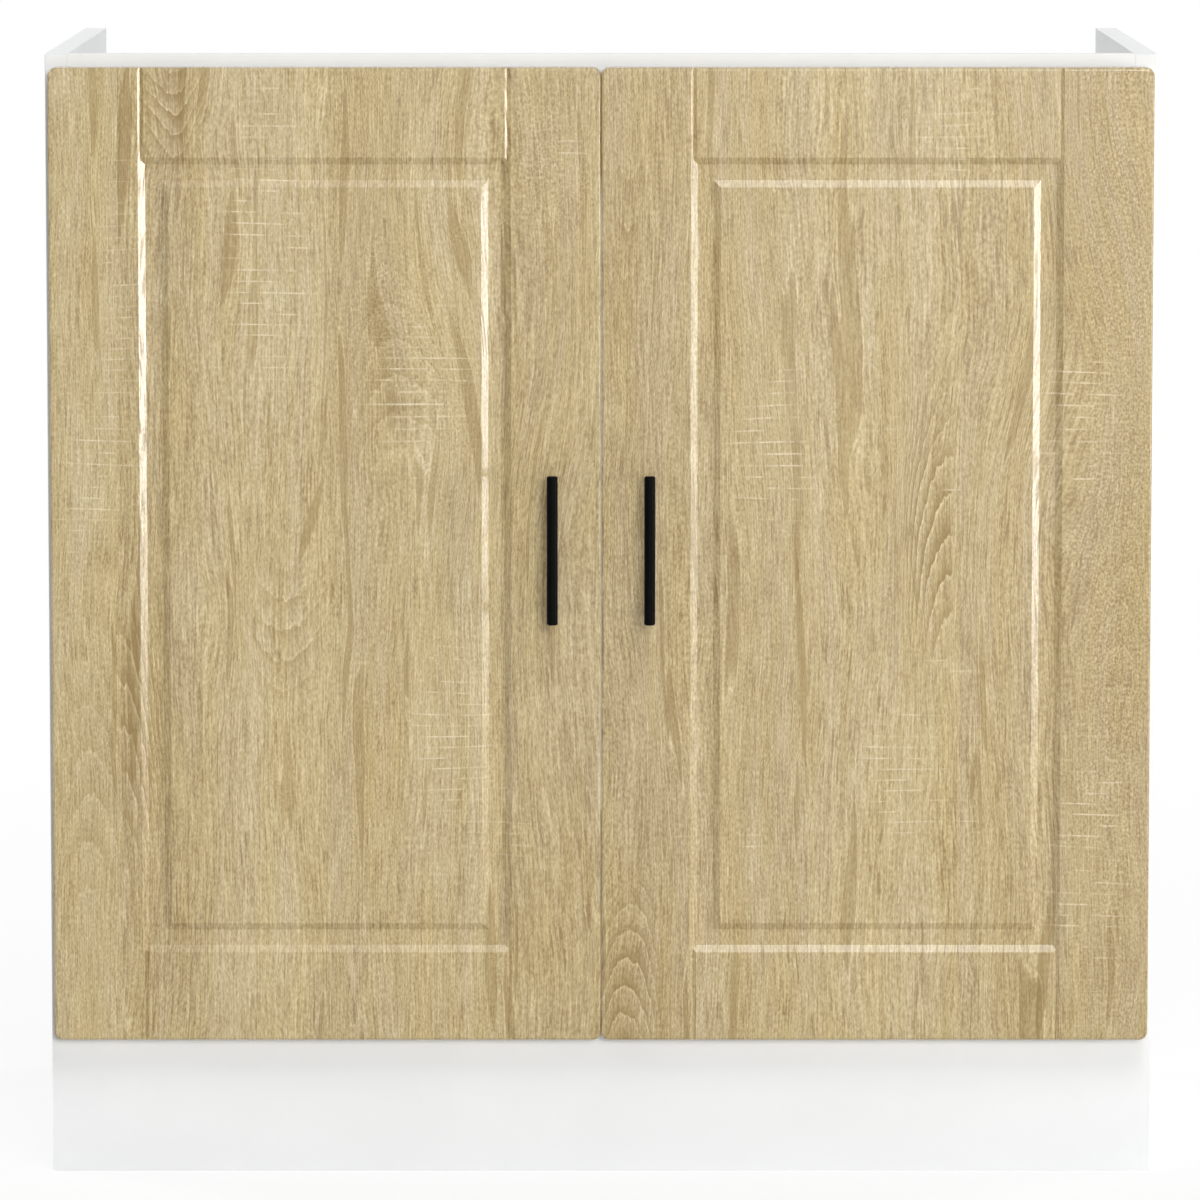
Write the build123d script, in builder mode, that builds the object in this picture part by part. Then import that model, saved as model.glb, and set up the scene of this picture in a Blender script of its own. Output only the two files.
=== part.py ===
"""Sink base cabinet with two framed doors on concealed cup hinges.

Millimetres. +X is to the right, +Z is up and the doors face -Y. The origin is on the floor,
in the middle of the width and of the depth over the handles. The carcass has an open top
and an open back, for the bowl of the sink and its pipes.
"""

import os
from cmath import exp, phase
from math import degrees, radians

from build123d import *

# ---------------------------------------------------------------- carcass
WIDTH = 800.0
HEIGHT = 815.0
BOARD = 16.0
CARCASS_DEPTH = 441.5
PLINTH_HEIGHT = 98.0
RAIL_HEIGHT = 90.0
REAR_RAIL_TOP = 778.0
EDGE_BAND = 0.8
BAND_GAP = 0.1
BAND_CHAMFER = 0.5

# ---------------------------------------------------------------- doors
DOOR_WIDTH = 396.85
DOOR_HEIGHT = 706.0
DOOR_BOTTOM = 100.0
DOOR_GAP = 0.3
DOOR_STANDOFF = 2.5
DOOR_CORNER_RADIUS = 6.0
DOOR_EDGE_ROUND = 2.0
FRAME_WIDTH = 64.5
SLOPE_WIDTH = 5.0
CHANNEL_WIDTH = 11.4
CHANNEL_DEPTH = 3.6
FIELD_DROP = 0.4
GROOVE_WIDTH = 4.4

# ---------------------------------------------------------------- handles
HANDLE_DIAMETER = 8.0
HANDLE_LENGTH = 107.4
HANDLE_CENTRES = 96.0
HANDLE_CLEARANCE = 26.0
HANDLE_X = 35.0
HANDLE_Z = 461.0
HANDLE_CHAMFER = 0.8
POST_RADIUS = 2.8

# ---------------------------------------------------------------- joints of the boards
DOWEL_RADIUS = 4.0
DOWEL_LENGTH = 30.0
SIDE_BORE_DEPTH = 10.0
CAM_RADIUS = 7.4
CAM_HEIGHT = 12.7
CAM_BACKSET = 34.0
CAM_AXIS_DEPTH = BOARD / 2
BOLT_RADIUS = 2.5
BOLT_HEAD_RADIUS = 3.3
BOLT_HEAD_LENGTH = 3.6
BOLT_BORE_RADIUS = 4.0
BOLT_NECK_RADIUS = 1.75
BOLT_COLLAR_RADIUS = 3.6
BOLT_COLLAR_LENGTH = 3.0
CLEARANCE = 0.05
CROSS_LENGTH = 9.0
CROSS_WIDTH = 1.6
CROSS_DEPTH = 2.0
CAM_MOUTH = 2 * BOLT_HEAD_RADIUS + 0.6
DOWEL_CHAMFER = 1.0
BLOCK_SIZE = 24.0
BLOCK_WALL = 3.0
SCREW_SHANK = 1.7
SCREW_HEAD = 3.4
SCREW_HEAD_HEIGHT = 1.8
SCREW_LENGTH = 14.0
PLATE_SCREW_HEAD = 4.6
FASTENER_SIDES = 12

# ---------------------------------------------------------------- concealed hinges
# A hinge point is (u, v): u runs from the door's hinge edge towards its middle, and v from
# the door's back face into the cabinet. Both are the lengths with the door shut.
HINGE_INSET = 120.0
CUP_CENTRE = 23.5
CUP_RADIUS = 17.5
CUP_WALL = 1.0
CUP_DEPTH = 12.7
FLANGE = 1.0
EAR_OFFSET = 9.5
EAR_SCREW_SPACING = 48.0
ARM_PIN_OUTER = complex(36.0, -1.6)
ARM_PIN_INNER = complex(34.4, -8.0)
CUP_PIN_OUTER = complex(13.2, -2.6)
CUP_PIN_INNER = complex(12.0, -7.4)
PIN_RADIUS = 1.1
EYE_RADIUS = 2.3
OPEN_EYE_WALL = 0.9
INNER_LINK_HALF = 3.0
OUTER_LINK_LAYER = (3.4, 4.8)
ARM_LAYER = (5.2, 6.4)
LUG_LAYER = (5.2, 8.8)

# The door turns 90 degrees. The constant shares below are what each link turns meanwhile.
DOOR_SWING = 90.0
OUTER_LINK_SHARE = -0.38
INNER_LINK_SHARE = -0.19
SWING_STEPS = 36

# Places that follow from the sizes
DEPTH_OVER_ALL = CARCASS_DEPTH + DOOR_STANDOFF + BOARD + HANDLE_CLEARANCE + HANDLE_DIAMETER
BACK = DEPTH_OVER_ALL / 2
FRONT = BACK - CARCASS_DEPTH
DOOR_BACK = FRONT - DOOR_STANDOFF
DOOR_FRONT = DOOR_BACK - BOARD
INSIDE = WIDTH / 2 - BOARD
DOOR_EDGE = DOOR_GAP / 2 + DOOR_WIDTH
DOOR_TOP = DOOR_BOTTOM + DOOR_HEIGHT
DOOR_MIDDLE_Z = DOOR_BOTTOM + DOOR_HEIGHT / 2
FLOOR_PANEL_Z = PLINTH_HEIGHT + BOARD / 2
HINGE_HEIGHTS = (DOOR_BOTTOM + HINGE_INSET, DOOR_TOP - HINGE_INSET)
SIDES = {"left": -1, "right": 1}

# Boards on edge between the side panels: front face, and height of the middle
RAILS = {
    "front_rail": (FRONT, HEIGHT - RAIL_HEIGHT / 2),
    "rear_rail_upper": (BACK - BOARD, REAR_RAIL_TOP - RAIL_HEIGHT / 2),
    "rear_rail_lower": (BACK - BOARD, PLINTH_HEIGHT + BOARD + RAIL_HEIGHT / 2),
}
RAIL_DOWEL_OFFSET = 28.0
FLOOR_DOWEL_Y = (FRONT + 50.0, BACK - 60.0)
FLOOR_CAM_Y = (FRONT + 90.0, BACK - 100.0)

# (y, z) of the dowels and of the cam bolts on the side panels
DOWEL_POINTS = [(y, FLOOR_PANEL_Z) for y in FLOOR_DOWEL_Y]
BOLT_POINTS = [(y, FLOOR_PANEL_Z) for y in FLOOR_CAM_Y]
for face, middle in RAILS.values():
    DOWEL_POINTS += [(face + BOARD / 2, middle + side * RAIL_DOWEL_OFFSET) for side in (-1, 1)]
    BOLT_POINTS.append((face + BOARD / 2, middle))

# Corner blocks behind the plinth board: two on the side panels, two under the bottom panel
SIDE_BLOCK_TOP = PLINTH_HEIGHT - 40.0
BLOCK_MIDDLE = (BLOCK_SIZE + BLOCK_WALL) / 2
MIDDLE_BLOCK_X = 150.0

# Hinge plate on the side panel, and the arm over it, as v and u lengths
PLATE_START = DOOR_STANDOFF + 20.0
PLATE_END = DOOR_STANDOFF + 54.0
PLATE_SCREW_V = DOOR_STANDOFF + 37.0
PLATE_SCREW_SPACING = 32.0
PLATE_HEIGHT = 48.0
PLATE_THICKNESS = 2.5
PLATE_WIDTH = 16.0
PLATE_ROUNDING = 3.0
WING_WIDTH = 13.0
WING_ROUNDING = 6.0
RIB_TOP_U = 22.0
RIB_HALF = 5.0
RIB_BORE_DEPTH = 5.0
ARM_BODY_U = (17.0, 29.0)
ARM_BODY_V = (13.0, 60.0)
ARM_SHEET = 1.2
CLAMP_SCREW_V = 50.0
ADJUST_SCREW_V = 28.0
ARM_SCREW_RADIUS = 2.0
ARM_SCREW_LENGTH = 12.0
ARM_SCREW_HEAD = 4.2

# (y, z) of the screws that hold the hinge plates
PLATE_SCREW_POINTS = [
    (DOOR_BACK + PLATE_SCREW_V, z + s * PLATE_SCREW_SPACING / 2) for z in HINGE_HEIGHTS for s in (-1, 1)
]

parts = {}


def finish(name, builder):
    """Label one finished piece and keep it for the export."""
    builder.part.label = name
    parts[name] = builder.part


def facing_front(y):
    """Upright plane at a depth, whose normal points to the front."""
    return Plane.XZ.offset(-y)


def facing_back(y):
    """Upright plane at a depth, whose normal points to the back."""
    return Plane((0, y, 0), x_dir=(-1, 0, 0), z_dir=(0, 1, 0))


def turned(plane, steps, mode=Mode.ADD):
    """Round steps along a plane's normal, each with its start, its length and its radius."""
    for start, length, radius in steps:
        with BuildSketch(plane.offset(start)) as section:
            Circle(radius)
        extrude(section.sketch, amount=length, mode=mode)


def faceted(plane, steps):
    """The same steps with a few flat sides, for fasteners that repeat many times."""
    for start, length, radius in steps:
        with BuildSketch(plane.offset(start)) as section:
            RegularPolygon(radius, FASTENER_SIDES)
        extrude(section.sketch, amount=length)


def drill(plane, points, radius, depth):
    """Round holes of one size, drilled into the material behind a plane."""
    with BuildSketch(plane) as holes:
        with Locations(*points):
            Circle(radius)
    extrude(holes.sketch, amount=-depth, mode=Mode.SUBTRACT)


def box(low, high, mode=Mode.ADD):
    """Square-edged board between two corners."""
    middle = tuple((a + b) / 2 for a, b in zip(low, high))
    size = [b - a for a, b in zip(low, high)]
    with Locations(middle):
        Box(*size, mode=mode)


def hinge_place(side, point):
    """Room (x, y) of a hinge point on the left (-1) or the right (+1) door."""
    return side * (DOOR_EDGE - point.real), DOOR_BACK + point.imag


def pin_axis(side, point, z):
    """Plane across a hinge pin, whose normal is the pin's axis."""
    return Plane((*hinge_place(side, point), z))


def strap(side, start, end, width):
    """Round-ended bar between two hinge points, drawn in a sketch."""
    first, last = (complex(*hinge_place(side, point)) for point in (start, end))
    middle = (first + last) / 2
    with Locations((middle.real, middle.imag)):
        SlotCenterToCenter(abs(last - first), width, rotation=degrees(phase(last - first)))


def layers(sketch, z, inner, outer, mode=Mode.ADD):
    """Two plates of one outline, above and below the middle height of a hinge."""
    for start in (z + inner, z - outer):
        extrude(sketch.moved(Location((0, 0, start))), amount=outer - inner, mode=mode)


def turned_about(centre, point, angle):
    """Hinge point after a turn about another one, in radians, towards the open door."""
    return centre + (point - centre) * exp(-1j * angle)


def open_eye():
    """Centre and radius of the inner link's eye, which leaves room for the cup pin.

    The cup pin's path, seen from the inner link, is a short hook. The eye is centred on the
    box round that path and is large enough for the pin at every angle of the door.
    """
    path = []
    for step in range(SWING_STEPS + 1):
        swing = radians(DOOR_SWING) * step / SWING_STEPS
        outer = turned_about(ARM_PIN_OUTER, CUP_PIN_OUTER, OUTER_LINK_SHARE * swing)
        pin = outer + (CUP_PIN_INNER - CUP_PIN_OUTER) * exp(-1j * swing)
        path.append(turned_about(ARM_PIN_INNER, pin, -INNER_LINK_SHARE * swing))
    spans = [[getattr(p, part) for p in path] for part in ("real", "imag")]
    centre = complex(*((min(span) + max(span)) / 2 for span in spans))
    return centre, max(abs(p - centre) for p in path) + PIN_RADIUS + 2 * CLEARANCE


OPEN_EYE_CENTRE, OPEN_EYE_RADIUS = open_eye()

# ================================================================ carcass

for name, side in SIDES.items():
    outer_face = side * WIDTH / 2
    inner_face = side * INSIDE
    inward = Plane((inner_face, 0, 0), x_dir=(0, -side, 0), z_dir=(-side, 0, 0))
    with BuildPart() as side_panel:
        with BuildSketch(Plane.YZ.offset(min(outer_face, inner_face))):
            with BuildLine():
                Polyline(
                    (FRONT + EDGE_BAND, PLINTH_HEIGHT),
                    (FRONT + EDGE_BAND, HEIGHT),
                    (BACK, HEIGHT),
                    (BACK, 0),
                    (FRONT + BOARD, 0),
                    (FRONT + BOARD, PLINTH_HEIGHT),
                    close=True,
                )
            make_face()
        extrude(amount=BOARD)
        dowel_places = [(-side * y, z) for y, z in DOWEL_POINTS]
        drill(inward, dowel_places, DOWEL_RADIUS + CLEARANCE, SIDE_BORE_DEPTH)
        bolt_places = [(-side * y, z) for y, z in BOLT_POINTS + PLATE_SCREW_POINTS]
        drill(inward, bolt_places, BOLT_RADIUS + CLEARANCE, SIDE_BORE_DEPTH)
    finish(f"side_panel_{name}", side_panel)


def cam_joint_bores(face_plane, end_plane, cam_points, end_points, dowel_points):
    """Cam pockets in a board's face, and the bolt and dowel bores in its end."""
    drill(face_plane, cam_points, CAM_RADIUS + CLEARANCE, CAM_HEIGHT)
    drill(end_plane, end_points, BOLT_BORE_RADIUS, CAM_BACKSET)
    drill(end_plane, dowel_points, DOWEL_RADIUS + CLEARANCE, DOWEL_LENGTH - SIDE_BORE_DEPTH)


def end_plane(side):
    """Plane on the end of a board that meets a side panel."""
    return Plane((side * INSIDE, 0, 0), x_dir=(0, side, 0), z_dir=(side, 0, 0))


with BuildPart() as bottom_panel:
    box((-INSIDE, FRONT + EDGE_BAND, PLINTH_HEIGHT), (INSIDE, BACK, PLINTH_HEIGHT + BOARD))
    underside = Plane((0, 0, PLINTH_HEIGHT), x_dir=(1, 0, 0), z_dir=(0, 0, -1))
    for side in SIDES.values():
        cam_x = side * (INSIDE - CAM_BACKSET)
        cam_joint_bores(
            underside,
            end_plane(side),
            [(cam_x, -y) for y in FLOOR_CAM_Y],
            [(side * y, FLOOR_PANEL_Z) for y in FLOOR_CAM_Y],
            [(side * y, FLOOR_PANEL_Z) for y in FLOOR_DOWEL_Y],
        )
finish("bottom_panel", bottom_panel)

with BuildPart() as plinth_board:
    box((-WIDTH / 2, FRONT, 0), (WIDTH / 2, FRONT + BOARD, PLINTH_HEIGHT))
finish("plinth_board", plinth_board)

for name, (face, middle) in RAILS.items():
    low_z, high_z = middle - RAIL_HEIGHT / 2, middle + RAIL_HEIGHT / 2
    cam_face = facing_back(face + BOARD) if face < 0 else facing_front(face)
    mirrored = -1 if face < 0 else 1
    with BuildPart() as rail:
        box((-INSIDE, face, low_z), (INSIDE, face + BOARD, high_z))
        for side in SIDES.values():
            cam_joint_bores(
                cam_face,
                end_plane(side),
                [(mirrored * side * (INSIDE - CAM_BACKSET), middle)],
                [(side * (face + BOARD / 2), middle)],
                [(side * (face + BOARD / 2), middle + s * RAIL_DOWEL_OFFSET) for s in (-1, 1)],
            )
    finish(name, rail)

with BuildPart() as edge_bands:
    for side in SIDES.values():
        low_x, high_x = sorted((side * INSIDE, side * WIDTH / 2))
        box((low_x, FRONT, PLINTH_HEIGHT), (high_x, FRONT + EDGE_BAND, HEIGHT))
    band_end = INSIDE - BAND_GAP
    box((-band_end, FRONT, PLINTH_HEIGHT), (band_end, FRONT + EDGE_BAND, PLINTH_HEIGHT + BOARD))
    chamfer(edge_bands.edges().group_by(Axis.Y)[0], BAND_CHAMFER)
finish("edge_bands", edge_bands)

# ================================================================ joining hardware

# One plane per cam: its origin is on the board's face over the cam, its normal leaves the
# face and its X axis points along the bolt to the side panel.
CAM_PLANES = []
for side in SIDES.values():
    cam_x = side * (INSIDE - CAM_BACKSET)
    along = (side, 0, 0)
    for y in FLOOR_CAM_Y:
        CAM_PLANES.append(Plane((cam_x, y, PLINTH_HEIGHT), x_dir=along, z_dir=(0, 0, -1)))
    for face, middle in RAILS.values():
        if face < 0:
            CAM_PLANES.append(Plane((cam_x, face + BOARD, middle), x_dir=along, z_dir=(0, 1, 0)))
        else:
            CAM_PLANES.append(Plane((cam_x, face, middle), x_dir=along, z_dir=(0, -1, 0)))

with BuildPart() as cam_housings:
    for plane in CAM_PLANES:
        turned(plane, [(-CAM_HEIGHT, CAM_HEIGHT, CAM_RADIUS)])
        with BuildSketch(plane) as cross:
            Rectangle(CROSS_LENGTH, CROSS_WIDTH)
            Rectangle(CROSS_WIDTH, CROSS_LENGTH)
        extrude(cross.sketch, amount=-CROSS_DEPTH, mode=Mode.SUBTRACT)
        with BuildSketch(plane.offset(-CAM_AXIS_DEPTH - CAM_MOUTH / 2)) as mouth:
            with Locations((CAM_RADIUS / 2, 0)):
                Rectangle(2 * CAM_RADIUS, CAM_MOUTH)
        extrude(mouth.sketch, amount=CAM_MOUTH, mode=Mode.SUBTRACT)
finish("cam_housings", cam_housings)

with BuildPart() as cam_bolts:
    for plane in CAM_PLANES:
        side = 1 if plane.x_dir.X > 0 else -1
        start = plane.origin - plane.z_dir * CAM_AXIS_DEPTH
        bolt_axis = Plane(start, z_dir=plane.x_dir)
        shank = CAM_BACKSET - BOLT_HEAD_LENGTH / 2
        faceted(
            bolt_axis,
            [
                (-BOLT_HEAD_LENGTH / 2, BOLT_HEAD_LENGTH, BOLT_HEAD_RADIUS),
                (BOLT_HEAD_LENGTH / 2, shank, BOLT_NECK_RADIUS),
                (CAM_BACKSET - BOLT_COLLAR_LENGTH, BOLT_COLLAR_LENGTH, BOLT_COLLAR_RADIUS),
                (CAM_BACKSET, SIDE_BORE_DEPTH, BOLT_RADIUS),
            ],
        )
finish("cam_bolts", cam_bolts)

with BuildPart() as wood_dowels:
    for side in SIDES.values():
        start_x = side * (INSIDE + SIDE_BORE_DEPTH)
        for y, z in DOWEL_POINTS:
            faceted(Plane((start_x, y, z), z_dir=(-side, 0, 0)), [(0, DOWEL_LENGTH, DOWEL_RADIUS)])
    chamfer(wood_dowels.edges().filter_by(Axis.X, reverse=True), DOWEL_CHAMFER)
finish("wood_dowels", wood_dowels)

plinth_back = FRONT + BOARD
block_screws = []
with BuildPart() as plinth_blocks:
    for side in SIDES.values():
        # On the side panel: walls on the plinth, on the panel, at the top and at the bottom
        wall_x = side * (INSIDE - BLOCK_WALL)
        low_x, high_x = sorted((side * INSIDE, side * (INSIDE - BLOCK_SIZE)))
        low_z = SIDE_BLOCK_TOP - BLOCK_SIZE
        box((low_x, plinth_back, low_z), (high_x, plinth_back + BLOCK_SIZE, SIDE_BLOCK_TOP))
        low_x, high_x = sorted((wall_x, side * (INSIDE - BLOCK_SIZE)))
        box(
            (low_x, plinth_back + BLOCK_WALL, low_z + BLOCK_WALL),
            (high_x, plinth_back + BLOCK_SIZE, SIDE_BLOCK_TOP - BLOCK_WALL),
            mode=Mode.SUBTRACT,
        )
        screw_x = side * (INSIDE - BLOCK_MIDDLE)
        screw_z = SIDE_BLOCK_TOP - BLOCK_SIZE / 2
        block_screws += [
            Plane((screw_x, plinth_back + BLOCK_WALL, screw_z), z_dir=(0, 1, 0)),
            Plane((wall_x, plinth_back + BLOCK_MIDDLE, screw_z), z_dir=(-side, 0, 0)),
        ]
        # Under the bottom panel: walls on the plinth, on the panel and at both ends
        x = side * MIDDLE_BLOCK_X
        low_x, high_x = x - BLOCK_SIZE / 2, x + BLOCK_SIZE / 2
        low_z = PLINTH_HEIGHT - BLOCK_SIZE
        box((low_x, plinth_back, low_z), (high_x, plinth_back + BLOCK_SIZE, PLINTH_HEIGHT))
        box(
            (low_x + BLOCK_WALL, plinth_back + BLOCK_WALL, low_z),
            (high_x - BLOCK_WALL, plinth_back + BLOCK_SIZE, PLINTH_HEIGHT - BLOCK_WALL),
            mode=Mode.SUBTRACT,
        )
        block_screws += [
            Plane((x, plinth_back + BLOCK_WALL, PLINTH_HEIGHT - BLOCK_MIDDLE), z_dir=(0, 1, 0)),
            Plane((x, plinth_back + BLOCK_MIDDLE, PLINTH_HEIGHT - BLOCK_WALL), z_dir=(0, 0, -1)),
        ]
    for plane in block_screws:
        turned(plane, [(-BLOCK_WALL, BLOCK_WALL, SCREW_SHANK + CLEARANCE)], mode=Mode.SUBTRACT)
finish("plinth_blocks", plinth_blocks)


def pan_screw(
    plane, length=SCREW_LENGTH, shank=SCREW_SHANK, head=SCREW_HEAD, height=SCREW_HEAD_HEIGHT
):
    """Pan-head screw that is driven in against a plane's normal, with its head on the plane."""
    faceted(plane, [(-length, length, shank), (0, height, head)])


def pilot(plane):
    """The hole that such a screw cuts."""
    turned(plane, [(-SCREW_LENGTH, SCREW_LENGTH, SCREW_SHANK + CLEARANCE)], mode=Mode.SUBTRACT)


with BuildPart() as plinth_block_screws:
    for plane in block_screws:
        pan_screw(plane)
finish("plinth_block_screws", plinth_block_screws)

for name in ("plinth_board", "bottom_panel", *(f"side_panel_{side}" for side in SIDES)):
    with BuildPart() as drilled:
        add(parts[name])
        for plane in block_screws:
            pilot(plane)
    finish(name, drilled)

# ================================================================ hinges, fixed side

with BuildPart() as hinge_plates:
    for side in SIDES.values():
        for z in HINGE_HEIGHTS:
            face_x = side * INSIDE
            top_x = side * (INSIDE - PLATE_THICKNESS)
            rib_x = hinge_place(side, complex(RIB_TOP_U, 0))[0]
            low_x, high_x = sorted((face_x, top_x))
            middle_y = DOOR_BACK + (PLATE_START + PLATE_END) / 2
            with BuildSketch(Plane.YZ.offset(low_x)) as outline:
                with Locations((middle_y, z)):
                    RectangleRounded(PLATE_END - PLATE_START, PLATE_WIDTH, PLATE_ROUNDING)
                with Locations((DOOR_BACK + PLATE_SCREW_V, z)):
                    RectangleRounded(WING_WIDTH, PLATE_HEIGHT, WING_ROUNDING)
            extrude(outline.sketch, amount=PLATE_THICKNESS)
            low_x, high_x = sorted((top_x, rib_x))
            box(
                (low_x, DOOR_BACK + PLATE_START + 1.0, z - RIB_HALF),
                (high_x, DOOR_BACK + PLATE_END - 1.0, z + RIB_HALF),
            )
            face = Plane((top_x, 0, 0), x_dir=(0, -side, 0), z_dir=(-side, 0, 0))
            points = [
                (-side * (DOOR_BACK + PLATE_SCREW_V), z + s * PLATE_SCREW_SPACING / 2) for s in (-1, 1)
            ]
            drill(face, points, BOLT_RADIUS + CLEARANCE, PLATE_THICKNESS)
            rib_face = Plane((rib_x, 0, 0), x_dir=(0, -side, 0), z_dir=(-side, 0, 0))
            points = [(-side * (DOOR_BACK + v), z) for v in (CLAMP_SCREW_V, ADJUST_SCREW_V)]
            drill(rib_face, points, ARM_SCREW_RADIUS + CLEARANCE, RIB_BORE_DEPTH)
finish("hinge_plates", hinge_plates)

with BuildPart() as hinge_plate_screws:
    for side in SIDES.values():
        for y, z in PLATE_SCREW_POINTS:
            pan_screw(
                Plane((side * (INSIDE - PLATE_THICKNESS), y, z), z_dir=(-side, 0, 0)),
                length=PLATE_THICKNESS + SIDE_BORE_DEPTH,
                shank=BOLT_RADIUS,
                head=PLATE_SCREW_HEAD,
            )
finish("hinge_plate_screws", hinge_plate_screws)

ARM_NECK = complex(31.0, 15.0)
ARM_NECK_WIDTH = 4.8
NECK_SPREAD = 3.0
ARM_ROUNDING = 3.0
WEB_END = 3.0
with BuildPart() as hinge_arms:
    for side in SIDES.values():
        body_low, body_high = (
            hinge_place(side, complex(u, v)) for u, v in zip(ARM_BODY_U, ARM_BODY_V)
        )
        body_middle = ((body_low[0] + body_high[0]) / 2, (body_low[1] + body_high[1]) / 2)
        with BuildSketch() as cheek:
            with Locations(body_middle):
                size = [abs(high - low) for low, high in zip(body_low, body_high)]
                RectangleRounded(*size, ARM_ROUNDING)
            for start in (ARM_NECK - NECK_SPREAD, ARM_NECK + NECK_SPREAD * 1j):
                strap(side, start, ARM_PIN_OUTER, ARM_NECK_WIDTH)
            strap(side, ARM_PIN_OUTER, ARM_PIN_INNER, 2 * EYE_RADIUS)
            for pin in (ARM_PIN_OUTER, ARM_PIN_INNER):
                with Locations(hinge_place(side, pin)):
                    Circle(PIN_RADIUS + CLEARANCE, mode=Mode.SUBTRACT)
        web_low, web_high = sorted(
            hinge_place(side, complex(u, 0))[0] for u in (ARM_BODY_U[1] - ARM_SHEET, ARM_BODY_U[1])
        )
        for z in HINGE_HEIGHTS:
            layers(cheek.sketch, z, *ARM_LAYER)
            box(
                (web_low, DOOR_BACK + ARM_BODY_V[0] + WEB_END, z - ARM_LAYER[1]),
                (web_high, DOOR_BACK + ARM_BODY_V[1] - WEB_END, z + ARM_LAYER[1]),
            )
            web_face = Plane(
                (hinge_place(side, complex(ARM_BODY_U[1], 0))[0], 0, 0),
                x_dir=(0, -side, 0),
                z_dir=(-side, 0, 0),
            )
            points = [(-side * (DOOR_BACK + v), z) for v in (CLAMP_SCREW_V, ADJUST_SCREW_V)]
            drill(web_face, points, ARM_SCREW_RADIUS + CLEARANCE, ARM_SHEET)
finish("hinge_arms", hinge_arms)

with BuildPart() as arm_screws:
    for side in SIDES.values():
        for z in HINGE_HEIGHTS:
            for v in (CLAMP_SCREW_V, ADJUST_SCREW_V):
                x, y = hinge_place(side, complex(ARM_BODY_U[1], v))
                plane = Plane((x, y, z), z_dir=(-side, 0, 0))
                pan_screw(plane, ARM_SCREW_LENGTH, ARM_SCREW_RADIUS, ARM_SCREW_HEAD)
finish("arm_screws", arm_screws)

RIVET_HEAD = 0.4
with BuildPart() as arm_pins:
    for side in SIDES.values():
        for z in HINGE_HEIGHTS:
            for pin in (ARM_PIN_OUTER, ARM_PIN_INNER):
                half = ARM_LAYER[1] + RIVET_HEAD
                turned(pin_axis(side, pin, z - half), [(0, 2 * half, PIN_RADIUS)])
finish("arm_pins", arm_pins)

# ================================================================ hinges, links

BRIDGE = (0.45, 0.8)
BRIDGE_SHEET = 1.2
for name, side in SIDES.items():
    span = ARM_PIN_OUTER - CUP_PIN_OUTER
    across = 1j * span / abs(span) * (EYE_RADIUS - BRIDGE_SHEET / 2)
    with BuildPart() as outer_links:
        with BuildSketch() as plate:
            strap(side, CUP_PIN_OUTER, ARM_PIN_OUTER, 2 * EYE_RADIUS)
            for pin in (CUP_PIN_OUTER, ARM_PIN_OUTER):
                with Locations(hinge_place(side, pin)):
                    Circle(PIN_RADIUS + CLEARANCE, mode=Mode.SUBTRACT)
        with BuildSketch() as bridge:
            strap(side, *(CUP_PIN_OUTER + share * span + across for share in BRIDGE), BRIDGE_SHEET)
        for z in HINGE_HEIGHTS:
            layers(plate.sketch, z, *OUTER_LINK_LAYER)
            half = (OUTER_LINK_LAYER[0] + OUTER_LINK_LAYER[1]) / 2
            layers(bridge.sketch, z, 0, half)
    finish(f"outer_links_{name}", outer_links)

    with BuildPart() as inner_links:
        with BuildSketch() as plate:
            strap(side, OPEN_EYE_CENTRE, ARM_PIN_INNER, 2 * EYE_RADIUS)
            with Locations(hinge_place(side, OPEN_EYE_CENTRE)):
                Circle(OPEN_EYE_RADIUS + OPEN_EYE_WALL)
                Circle(OPEN_EYE_RADIUS, mode=Mode.SUBTRACT)
            with Locations(hinge_place(side, ARM_PIN_INNER)):
                Circle(EYE_RADIUS)
                Circle(PIN_RADIUS + CLEARANCE, mode=Mode.SUBTRACT)
        for z in HINGE_HEIGHTS:
            layers(plate.sketch, z, 0, INNER_LINK_HALF)
    finish(f"inner_links_{name}", inner_links)

# ================================================================ doors

EAR_WIDTH = 13.0
EAR_HEIGHT = 60.0
EAR_SCREW_LENGTH = 13.0
LUG_WIDTH = 5.0
PIN_RECESS = 0.1
FLANGE_RIM = 0.5
CUP_SCREW_HEIGHT = 0.9
GROOVE_RUN = 3.0
HANDLE_SCREW_RADIUS = 2.0
HANDLE_SCREW_GRIP = 12.0
HANDLE_SCREW_HEAD = 4.0
BUMPER_RADIUS = 4.0
BUMPER_HEIGHT = 2.3
BUMPER_CHAMFER = 1.0
BUMPER_INSET = 14.0
PILOT_DEPTH = 12.0


def frame_rectangle(y, middle_x, inset):
    """Rectangle at a depth that lies inside the door's outline by an inset."""
    with BuildSketch(facing_front(y)) as section:
        with Locations((middle_x, DOOR_MIDDLE_Z)):
            Rectangle(DOOR_WIDTH - 2 * inset, DOOR_HEIGHT - 2 * inset)
    return section.sketch


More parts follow.
